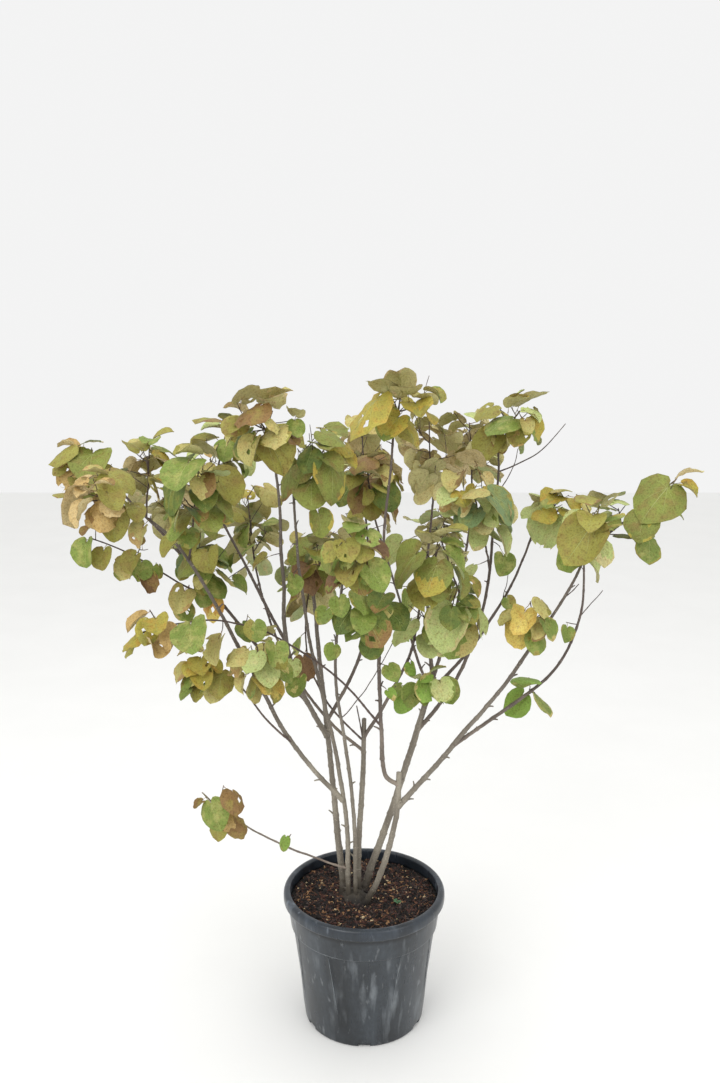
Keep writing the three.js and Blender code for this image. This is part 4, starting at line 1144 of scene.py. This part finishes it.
class Bend:
    """How one leaf is folded, cupped, curled, twisted and crumpled. Lengths are in blades."""

    def __init__(self, dry, rng):
        cup_up = rng.random() < 0.45 + 0.4 * dry
        self.across = (0.25 + 0.55 * rng.random() + dry * 2.1 * rng.random()) * (1 if cup_up else -0.8)
        self.along = 0.15 + 0.6 * rng.random() + dry * 0.9 * rng.random()
        self.fold = 0.22 * rng.random() * (1 if cup_up else -0.3)
        self.twist = rng.uniform(-0.35, 0.35) * (1 + dry)
        self.wave = 0.014 + 0.02 * rng.random() + 0.03 * dry
        self.crumple = 0.004 + 0.022 * dry
        self.pillow = rng.uniform(0.01, 0.022)
        self.phase = rng.uniform(0, 2 * math.pi, 6)

    def __call__(self, u, v, lift):
        phase = self.phase
        turn, out = np.arctan2(v, u), np.hypot(u, v)
        angle = np.abs(turn)
        between = np.interp(angle, np.append(VEIN_ANGLES, RAYS[-1]), np.arange(len(VEIN_ANGLES) + 1.0))
        pillows = self.pillow * np.sin(math.pi * between) ** 2 * np.minimum(out * 3, 1)
        z = lift + self.fold * np.abs(v) + pillows
        z = z + self.wave * out**2 * (np.sin(5 * turn + phase[0]) + np.sin(9 * angle + phase[1]))
        creases = np.sin(14 * u + phase[2]) * np.sin(13 * v + phase[3])
        z = z + self.crumple * (creases + np.sin(23 * u + 9 * v + phase[4]) * 0.6)
        k = self.across
        y, z = np.sin(k * v) * (1 / k - z), (1 - np.cos(k * v)) / k + z * np.cos(k * v)
        z = z - (1 - math.cos(k * 0.3)) / k
        k = self.along
        x, z = (1 / k + z) * np.sin(k * u), (1 / k + z) * np.cos(k * u) - 1 / k
        turn = self.twist * (u - 0.4)
        y, z = y * np.cos(turn) - z * np.sin(turn), y * np.sin(turn) + z * np.cos(turn)
        back = k / 2
        x, z = x * math.cos(back) - z * math.sin(back), x * math.sin(back) + z * math.cos(back)
        return np.stack([x, y, z], -1)


def in_patch(kind, u, v, rim, rng):
    """Which faces of a blade have faded: its margin, its tip, one side or some spots."""
    phase = rng.uniform(0, 2 * math.pi, 3)
    angle = np.arctan2(v, u)
    if kind == "margin":
        return rim + 0.1 * np.sin(3 * angle + phase[0]) + 0.06 * np.sin(8 * angle + phase[1]) > 0.93
    if kind == "tip":
        return u + 0.1 * np.sin(9 * v + phase[0]) + 0.05 * np.sin(21 * v + phase[1]) > rng.uniform(0.4, 0.75)
    if kind == "side":
        side = 1 if rng.random() < 0.5 else -1
        return side * v + 0.06 * np.sin(11 * u + phase[0]) > rng.uniform(0.0, 0.2)
    return np.sin(10 * u + phase[0]) + np.sin(12 * v + phase[1]) + np.sin(8 * (u + v) + phase[2]) > 1.25


def torn_from(u, v, corners_u, corners_v, rng):
    """Which faces of a blade are left, beside a few holes and a bite out of the margin."""
    kept = np.ones(len(BLADE_FACES), bool)
    if rng.random() < TORN_SHARE:
        for _ in range(rng.integers(1, 4)):
            angle, far = rng.uniform(-2.4, 2.4), rng.uniform(0.35, 0.8)
            hole_u, hole_v = far * math.cos(angle) * 0.8 + 0.1, far * math.sin(angle) * 0.6
            kept &= np.hypot(corners_u - hole_u, corners_v - hole_v) > rng.uniform(0.05, 0.1)
    if rng.random() < TORN_SHARE:
        i = rng.integers(4, len(RAYS) - 4)
        kept &= np.hypot(corners_u - u[-1, i], corners_v - v[-1, i]) > rng.uniform(0.08, 0.22)
    return kept


def add_ridge(batch, line, thick, thin):
    """A thin three-sided tube along a vein, open at its ends."""
    _, across, over = frames_along(line)
    radii = np.linspace(thick, thin, len(line))
    batch.add(rings_about(line, radii[:, None], angles(3), across, over), grid_faces(len(line), 3))


leaf_parts = {}


def part_of(kind, name, mass):
    """The batch of one kind of leaf part in one colour. It notes each mass that has some."""
    batch, on = leaf_parts.setdefault((kind, name), (Batch(), set()))
    on.add(mass)
    return batch


def add_leaf(leaf, colour, rng, mass):
    """One leaf: both skins of its blade, its veins and its stalk."""
    _, dry, fades = LEAF_COLOURS[colour]
    size = leaf["size"]
    bend = Bend(dry, rng)
    breadth = rng.uniform(0.93, 1.06)
    phase = rng.uniform(0, 2 * math.pi, 3)
    edge = 1 + 0.018 * np.sin(4 * RAYS + phase[0]) + 0.012 * np.sin(9 * RAYS + phase[1])
    edge = edge + dry * 0.03 * np.sin(15 * RAYS + phase[2])
    out = RINGS[:, None] * (REACH * edge)[None]
    u, v = out * np.cos(RAYS), out * np.sin(RAYS) * breadth
    directions = np.stack([leaf["axis"], leaf["cross"], leaf["face"]])

    def placed(u, v, lift=0.0):
        return leaf["notch"] + size * (bend(u, v, lift) @ directions)

    # A leaf that would pass the part's box is made smaller, or left out if that doesn't help.
    for _ in range(SHRINK_TRIES):
        margin = placed(u[-1], v[-1])
        if (margin > BOX_LOW).all() and (margin < BOX_HIGH).all():
            break
        size *= SHRINK
    else:
        return

    corners_u, corners_v = u.ravel()[BLADE_FACES].mean(1), v.ravel()[BLADE_FACES].mean(1)
    kept = torn_from(u, v, corners_u, corners_v, rng)
    faded = np.zeros(len(BLADE_FACES), bool)
    fade = fades[rng.integers(len(fades))]
    if rng.random() < FADED_SHARE:
        kind = ("margin", "margin", "tip", "side", "spots")[rng.integers(5)]
        rim = np.repeat((RINGS[:-1] + RINGS[1:]) / 2, len(RAYS) - 1)
        faded = in_patch(kind, corners_u, corners_v, rim, rng)
    thick = HALF_THICK / size
    i = np.arange(len(RAYS) - 1)
    fan = np.stack([np.full(len(i), len(RAYS)), i, i + 1], 1)
    for skin, own, other, lift in (
        ("upper", colour, fade, thick),
        ("under", UNDERSIDE_OF[colour], UNDERSIDE_OF[fade], -thick),
    ):
        points = placed(u, v, lift).reshape(-1, 3)
        for name, chosen in ((own, kept & ~faded), (other, kept & faded)):
            if chosen.any():
                used, quads = np.unique(BLADE_FACES[chosen], return_inverse=True)
                quads = quads.reshape(-1, 4)
                if skin == "under":
                    quads = quads[:, [0, 3, 2, 1]]
                part_of(skin, name, mass).add(points[used], quads)
        notch = placed(np.zeros(1), np.zeros(1), lift)
        part_of(skin, own, mass).add(
            np.vstack([points[: len(RAYS)], notch]), fan if skin == "upper" else fan[:, ::-1]
        )

    stalk = "dry" if dry > 0.4 else "fresh"
    veins = part_of("veins", "brown" if "brown" in colour else stalk, mass)
    for k, thickness in zip(VEIN_RAYS, VEIN_THICKNESS):
        for ray in {MIDDLE_RAY + k, MIDDLE_RAY - k}:
            last = len(RINGS) if k == 0 else len(RINGS) - 1
            line = placed(np.append(0, u[:last, ray]), np.append(0, v[:last, ray]))
            add_ridge(veins, line, thickness * (size / 80), 0.26)
    for ring in (1, 2, 3) if size > SMALL_VEINS_FROM else ():
        for side in (1, -1):
            ends = [(ring, MIDDLE_RAY), (ring + 1, MIDDLE_RAY + side), (ring + 1, MIDDLE_RAY + 2 * side)]
            line = placed(np.array([u[e] for e in ends]), np.array([v[e] for e in ends]))
            add_ridge(veins, line, 0.45, 0.24)

    arrive = leaf["notch"] - leaf["axis"] * size * 0.12
    sag = (leaf["joint"] + arrive) / 2 - UP * size * 0.03
    line, shares = smooth_line(np.array([leaf["joint"], sag, arrive, leaf["notch"]]), 8)
    swell = 0.82 + 0.5 * np.exp(-((shares / 0.06) ** 2)) + 0.4 * np.exp(-(((1 - shares) / 0.08) ** 2))
    add_tube(part_of("stalks", stalk, mass), line, swell * (size / 90 + 0.2), 5)


def deal(spray, rng):
    names, weights = spray[::2], np.array(spray[1::2])
    return names[rng.choice(len(names), p=weights / weights.sum())]


for index, (name, mass) in enumerate(masses.items()):
    rng = np.random.default_rng(500 + index)
    for leaf in mass["leaves"]:
        colour = deal(SPRAYS[name]["spray"], rng)
        if "first" in leaf:
            colour = SPRAYS[name].get("tip", colour)
        add_leaf(leaf, colour, rng, name)
rng = np.random.default_rng(900)
for leaf, _, mass, colour in lone_leaves:
    add_leaf(leaf, colour, rng, mass)

for (kind, name), (batch, on) in leaf_parts.items():
    if kind == "upper":
        colour, _, fades = LEAF_COLOURS[name]
        material = leaf_material(name, colour, 0.12, LEAF_COLOURS[fades[0]][0])
    elif kind == "under":
        material = leaf_material("under_" + name, UNDERSIDES[name], 0.08, UNDERSIDE_FADE)
    elif kind == "veins":
        material = plain_material("vein_" + name, VEIN_COLOURS[name], 0.6, 0.12)
    else:
        material = plain_material("stalk_" + name, STALK_COLOURS[name], 0.6)
    batch.dress(f"leaf_{kind}_{name}", material, "leaves", sorted(on))

BUD_BROWN = plain_material("bud", "#3d2a26", 0.6, 0.25)
twig_batch.dress("twigs", TWIG_BARK, "young_bark", [name for name in masses if name != LOW_SPRIG])
low_twig_batch.dress("twig_low", LOW_TWIG_BARK, "young_bark", [LOW_SPRIG])
buds.dress("buds", BUD_BROWN, "young_bark", masses)

# ---------------------------------------------------------------- the shared foot of the stems

rng = np.random.default_rng(61)
crown = Batch()
around = angles(60)
levels = np.array([-10, -4, 0, 3, 6, 9, 13, 17, 20, 22, 23.5])
breadths = np.array([46, 43, 38, 34, 31, 28, 25, 21, 16, 9, 0.5])
ridge = 1 + 0.09 * np.sin(5 * around + 0.6) + 0.05 * np.sin(9 * around + 2) + 0.03 * np.sin(17 * around)
rough = 1 + 0.03 * rng.standard_normal((len(levels), len(around)))
radius = breadths[:, None] * ridge * rough
x, y = CROWN_X + radius * np.cos(around), CROWN_Y + radius * np.sin(around)
z = SOIL_MIDDLE + np.repeat(levels[:, None], len(around), 1) + rng.standard_normal(radius.shape) * 0.6
crown.add(np.stack([x, y, z], -1), grid_faces(len(levels), len(around)))
for name in STEMS:
    (first, second, *_), width = limbs[name]
    ahead = unit(second - first)
    rise = ahead * (SOIL_MIDDLE - STEM_START) / ahead[2]
    foot = np.array((mix((CROWN_X, first[0]), 0.7), mix((CROWN_Y, first[1]), 0.7), SOIL_MIDDLE - 8.0))
    way = [foot, first + rise * 1.25, first + rise + ahead * 26, first + rise + ahead * 48]
    line, shares = smooth_line(np.array(way), 3)
    radii = width[0] / 2 * (0.94 + 0.8 * (1 - shares) ** 2.4)
    add_tube(crown, line, radii, 18, rng, 0.1)
CROWN_BARK = bark_material("bark_crown", "#8b8272", "#8b8272", "#4a4238", "#6a6052", 0.9)
crown.dress("root_crown_bark", CROWN_BARK, "bark", ["root_crown"])

# ---------------------------------------------------------------- the pot

POT_FLOOR = 4
WALL = 3.2
PANELS = 4
PANEL_HALVES = (22.5, 28)  # half of a panel's breadth, at its fading foot and at its top, in degrees
PANEL_TOP, PANEL_FADE, PANEL_END = 246, 120, 40
PANEL_DEPTH = 3.4
PANEL_WIDENS = (60, PANEL_TOP)
BEAD = 1.3
LEDGE = 1.1
NOTCH_HALF, NOTCH_HEIGHT, NOTCHES = 16.5, 12, 6
RING_OUTER, RING_INNER = POT_FOOT - 4, POT_FOOT - 9
BEVEL = ((0, 0.6, 1.6, 3, 4.5), (4, 2.2, 1.0, 0.3, 0))
LIP = np.array((
    (-0.4, 190), (0.8, 194), (1.6, 195.6), (3, 196.4), (6, 196.8), (10, LIP_RADIUS), (14, LIP_RADIUS),
    (18, 196.8), (21, 196), (23.4, 194.8), (25.2, 193), (26.4, 190.6), (27, 188), (27, 185), (26.4, 182.6),
    (25.4, 181), (22, MOUTH_RADIUS), (14, MOUTH_RADIUS), (4, MOUTH_RADIUS + 0.5),
))


def wall_radius(z):
    return POT_FOOT + (POT_SHOULDER - POT_FOOT) * z / LIP_BOTTOM


def step(value, start, end):
    t = np.clip((value - start) / (end - start), 0, 1)
    return t * t * (3 - 2 * t)


def turned(reach, z, turn):
    """Points at some turns about the pot's axis, turn 0 in front."""
    return np.stack([reach * np.sin(turn), -reach * np.cos(turn), z + 0 * turn], -1)


def rings_of(profile, turn):
    """Rings of points of a turned profile, given as (radius, height) pairs."""
    reach, z = np.array(profile).T[:, :, None]
    return turned(reach, z, turn)


around = angles(360)
off_panel = np.abs((around + math.pi / PANELS) % (2 * math.pi / PANELS) - math.pi / PANELS)
heights = np.concatenate([
    [0, 0.6, 1.6, 3, 4.5, 8, NOTCH_HEIGHT - 1, NOTCH_HEIGHT + 0.5, 18, 26],
    np.linspace(PANEL_END, PANEL_TOP - 6, 18),
    PANEL_TOP + np.array([-2.2, -1.2, -0.4, 0.4, 1.2, 3]),
    [262, 275, 288, 298, LIP_BOTTOM - 1],
])
bevel = np.interp(heights, *BEVEL)
sunk_from = [PANEL_END, PANEL_FADE, PANEL_TOP - 1.2, PANEL_TOP - 0.4]
sunk = np.interp(heights, sunk_from, [0, PANEL_DEPTH, PANEL_DEPTH, 0])[:, None]
ledge = np.interp(heights, [PANEL_TOP - 0.4, PANEL_TOP + 1.2], [0, LEDGE])
half = np.radians(np.interp(heights, PANEL_WIDENS, PANEL_HALVES))[:, None]
on_panel = 1 - step(off_panel, half - math.radians(1.4), half)
bead = BEAD * np.exp(-(((off_panel - half) / math.radians(0.9)) ** 2))
outer = (wall_radius(heights) - bevel + ledge)[:, None] - sunk * on_panel + sunk / PANEL_DEPTH * bead
inner_heights = np.array([LIP_BOTTOM - 10, 280, 262, 200, 100, 20, POT_FLOOR])
plain_reach = np.concatenate([LIP[:, 1], wall_radius(inner_heights) - WALL])
lathe_heights = np.concatenate([heights, LIP_BOTTOM + LIP[:, 0], inner_heights])
lathe_reach = np.vstack([outer, np.repeat(plain_reach[:, None], len(around), 1)])
lathe_reach = lathe_reach * (1 + 0.0007 * np.sin(3 * around + 1.2) + 0.0004 * np.sin(5 * around))
faces = grid_faces(len(lathe_heights), len(around))

# The notches are left out of the outer wall, and each gets its own recess.
rows, columns = faces[:, 0] // len(around), faces[:, 0] % len(around)
middle = around[columns] + math.pi / len(around)
off_notch = np.abs((middle + math.pi / NOTCHES) % (2 * math.pi / NOTCHES) - math.pi / NOTCHES)
notch_angle = NOTCH_HALF / POT_FOOT
low = (rows < len(heights) - 1) & (heights[np.minimum(rows + 1, len(heights) - 1)] <= NOTCH_HEIGHT)
pot = Batch()
pot.add(turned(lathe_reach, lathe_heights[:, None], around), faces[~(low & (off_notch < notch_angle))])
ring_faces = grid_faces(3, len(around))
pot.add(
    rings_of([(RING_OUTER, 0), (RING_INNER, 0), (RING_INNER, NOTCH_HEIGHT - 1)], around),
    ring_faces[np.tile(off_notch[: len(around)] >= notch_angle, 2)],
)
base = [(POT_FOOT - 4.6, NOTCH_HEIGHT - 1), (110, NOTCH_HEIGHT), (40, NOTCH_HEIGHT), (0.5, NOTCH_HEIGHT)]
pot.add(rings_of(base, around), grid_faces(len(base), len(around)))
cheek = [
    (wall_radius(NOTCH_HEIGHT), NOTCH_HEIGHT),
    (RING_OUTER, 0),
    (RING_INNER, 0),
    (RING_INNER, NOTCH_HEIGHT),
]
for k in range(NOTCHES):
    for side in (-1, 1):
        at = k * 2 * math.pi / NOTCHES + side * (notch_angle + 0.002)
        pot.add(rings_of(cheek, np.array([at])), [[0, 1, 2, 3]])
pot.dress("pot_wall", pot_material(), "pot", ["pot"])

# Worn edges with painted highlights: thin pale strips on the beads beside the panels and along the ledge
# above them, partly wear and partly painted highlight where these edges catch the light.
WEAR_AND_HIGHLIGHT_HALF = math.radians(0.26)
wear_and_highlight_strips = Batch()
rise = np.linspace(84, PANEL_TOP - 3, 50)
edge = np.radians(np.interp(rise, PANEL_WIDENS, PANEL_HALVES))
reach = wall_radius(rise) + (BEAD * np.interp(rise, [PANEL_END, PANEL_FADE], [0, 1]) + 0.25)
thin = WEAR_AND_HIGHLIGHT_HALF * np.sin(np.linspace(0.15, math.pi - 0.3, len(rise)))
for k in range(PANELS):
    for side in (1, -1):
        at = k * 2 * math.pi / PANELS + side * edge
        strip = np.stack([turned(reach, rise, a) for a in (at - thin, at + thin)], 1)
        wear_and_highlight_strips.add(strip, grid_faces(len(rise), 2, False)[:, ::-1])
reach = wall_radius(PANEL_TOP) + LEDGE + 0.12
ledge_strip = [(reach, PANEL_TOP + 0.9), (reach + 0.05, PANEL_TOP + 2)]
wear_and_highlight_strips.add(rings_of(ledge_strip, around), grid_faces(2, len(around)))
# The strips' pale colour is partly wear and partly painted highlight.
wear_and_highlight_strips.dress("pot_edge_wear_and_highlights", plain_material("pot_wear_and_highlight", "#6c7276", 0.45, 0.45, 60.0), "pot", ["pot"])

# ---------------------------------------------------------------- the compost and its bark chips

BED_RADIUS, CHIPS_WITHIN, CHIPS_REACH = 181, 178, 179.5
HEAP_HEIGHT, HEAP_RADIUS = 5, 38

rng = np.random.default_rng(23)


def compost_height(x, y):
    height = np.interp(np.hypot(x, y), [SOIL_LEVEL_RADIUS, MOUTH_RADIUS], [SOIL_MIDDLE, SOIL_EDGE])
    height = height + 2.2 * np.sin(x / 17 + 1) * np.sin(y / 21) + 1.4 * np.sin(x / 7.3 + y / 9.1)
    return height + HEAP_HEIGHT * np.exp(-((np.hypot(x - CROWN_X, y - CROWN_Y) / HEAP_RADIUS) ** 2))


compost = Batch()
rings = np.linspace(0, 1, 56) ** 0.9 * BED_RADIUS
around = angles(150)
x, y = rings[:, None] * np.cos(around), rings[:, None] * np.sin(around)
z = compost_height(x, y) + rng.standard_normal(x.shape) * 0.9
z[-1] = SOIL_EDGE - 4
compost.add(np.stack([x, y, z], -1), grid_faces(len(rings), len(around)))
COMPOST_DARK = plain_material("compost_dark", "#120e0c", 0.95, 0.35, 220.0, 0.9)
compost.dress("compost_bed", COMPOST_DARK, "compost", ["soil"])

CHIP = np.array([
    [-1, -1, -1], [1, -0.7, -1], [0.8, 1, -1], [-0.9, 0.8, -1],
    [-0.8, -0.9, 1], [0.9, -0.6, 0.8], [0.7, 0.8, 1], [-0.9, 0.7, 0.9],
])
CHIP_FACES = np.array([[3, 2, 1, 0], [4, 5, 6, 7], [0, 1, 5, 4], [1, 2, 6, 5], [2, 3, 7, 6], [3, 0, 4, 7]])

# Each kind's colour, how many there are, and their lengths and breadths from least to most.
CHIP_KINDS = {
    "dark": ("#1b1411", 2500, (3, 16), (1.5, 6.5)),
    "red": ("#43271f", 1050, (3, 17), (1.5, 6.5)),
    "grey": ("#4a3d38", 500, (3, 14), (1.5, 6)),
    "tan": ("#9a7450", 330, (2.5, 11), (1.2, 5.5)),
    "pale": ("#cfb891", 130, (2, 9), (0.9, 3.6)),
    "fibre": ("#74503a", 360, (8, 28), (0.5, 1.1)),
}


def rotation(axis, angle):
    """The matrix that turns points about one axis."""
    c, s = math.cos(angle), math.sin(angle)
    return np.array({
        "x": [[1, 0, 0], [0, c, -s], [0, s, c]],
        "y": [[c, 0, s], [0, 1, 0], [-s, 0, c]],
        "z": [[c, -s, 0], [s, c, 0], [0, 0, 1]],
    }[axis])


for name, (colour, count, lengths, breadths) in CHIP_KINDS.items():
    batch = Batch()
    out = np.sqrt(rng.random(count)) * CHIPS_WITHIN
    angle = rng.uniform(0, 2 * math.pi, count)
    for x, y in np.stack([out * np.cos(angle), out * np.sin(angle)], 1):
        half = np.array([rng.uniform(*lengths), rng.uniform(*breadths), rng.uniform(0.6, 1.8)]) / (2, 2, 1)
        if math.hypot(x, y) + half[0] > CHIPS_REACH:
            continue
        corners = CHIP * (1 + rng.uniform(-0.25, 0.25, CHIP.shape)) * half
        turn, tilt, roll = rng.uniform(0, 2 * math.pi), rng.normal(0, 0.3), rng.normal(0, 0.35)
        spin = rotation("z", turn) @ rotation("y", tilt) @ rotation("x", roll)
        place = np.array([x, y, compost_height(x, y) + rng.uniform(-0.3, 2.2)])
        batch.add(corners @ spin.T + place, CHIP_FACES)
    material = plain_material("chip_" + name, colour, 0.85, 0.35, 300.0, 0.5)
    batch.dress("chips_" + name, material, "compost", ["soil"], smooth=False)

WEED_X, WEED_Y = 80, -40
WEED_LEAVES, WEED_TURN, WEED_LEAF = 9, 2.4, 4.2
OVAL = ((1, 0), (0.6, 0.62), (-0.3, 0.66), (-1, 0), (-0.3, -0.66), (0.6, -0.62))

weed = Batch()
root = np.array([WEED_X, WEED_Y, compost_height(WEED_X, WEED_Y)])
for k in range(WEED_LEAVES):
    turn = k * WEED_TURN
    outward = np.array([math.cos(turn), math.sin(turn), 0.25])
    level = np.array([-math.sin(turn), math.cos(turn), 0])
    centre = root + outward * [1, 1, 0] * rng.uniform(3, 9) + UP * rng.uniform(4, 8)
    rim = np.array([centre + unit(outward) * a * WEED_LEAF + level * b * WEED_LEAF for a, b in OVAL])
    weed.add(np.vstack([rim, centre + UP * 1.1]), [[6, i, (i + 1) % 6] for i in range(6)])
    line, _ = smooth_line(np.array([root - UP, centre - outward * 4]), 3)
    add_tube(weed, line, np.full(len(line), 0.5), 5)
weed.dress("weed_sprout", plain_material("weed_green", "#3f6a41", 0.6), "compost", ["soil"])

# ---------------------------------------------------------------- floor and light

FLOOR_HALF, FLOOR_DROP = 9000, 0.2

floor = Batch()
corners = np.array([(-1, -1), (1, -1), (1, 1), (-1, 1)]) * FLOOR_HALF
floor.add([(x, y, -FLOOR_DROP) for x, y in corners], [[0, 1, 2, 3]])
floor.make("floor", plain_material("floor_white", "#f4f4f2", 0.7, 0.01, 3.0, 0.02), smooth=False)

world = bpy.data.worlds.new("studio")
world.use_nodes = True
sky = world.node_tree.nodes["Background"].inputs
sky["Color"].default_value = WHITE
sky["Strength"].default_value = 0.9
bpy.context.scene.world = world


def area_light(name, place, size, power, target=(0, 0, 0.9)):
    data = bpy.data.lights.new(name, "AREA")
    data.energy = power
    data.size = size
    lamp = bpy.data.objects.new(name, data)
    lamp.location = place
    x, y, z = np.array(target) - np.array(place)
    lamp.rotation_euler = (math.atan2(math.hypot(x, y), -z), 0, math.atan2(y, x) - math.pi / 2)
    bpy.context.scene.collection.objects.link(lamp)


area_light("key", (-1.9, -2.9, 3.4), 2.6, 66)
area_light("fill", (2.4, -2.6, 2.6), 2.6, 26)
area_light("top", (0, 0.4, 4.2), 3.2, 30)

bpy.context.scene.view_settings.view_transform = "Standard"
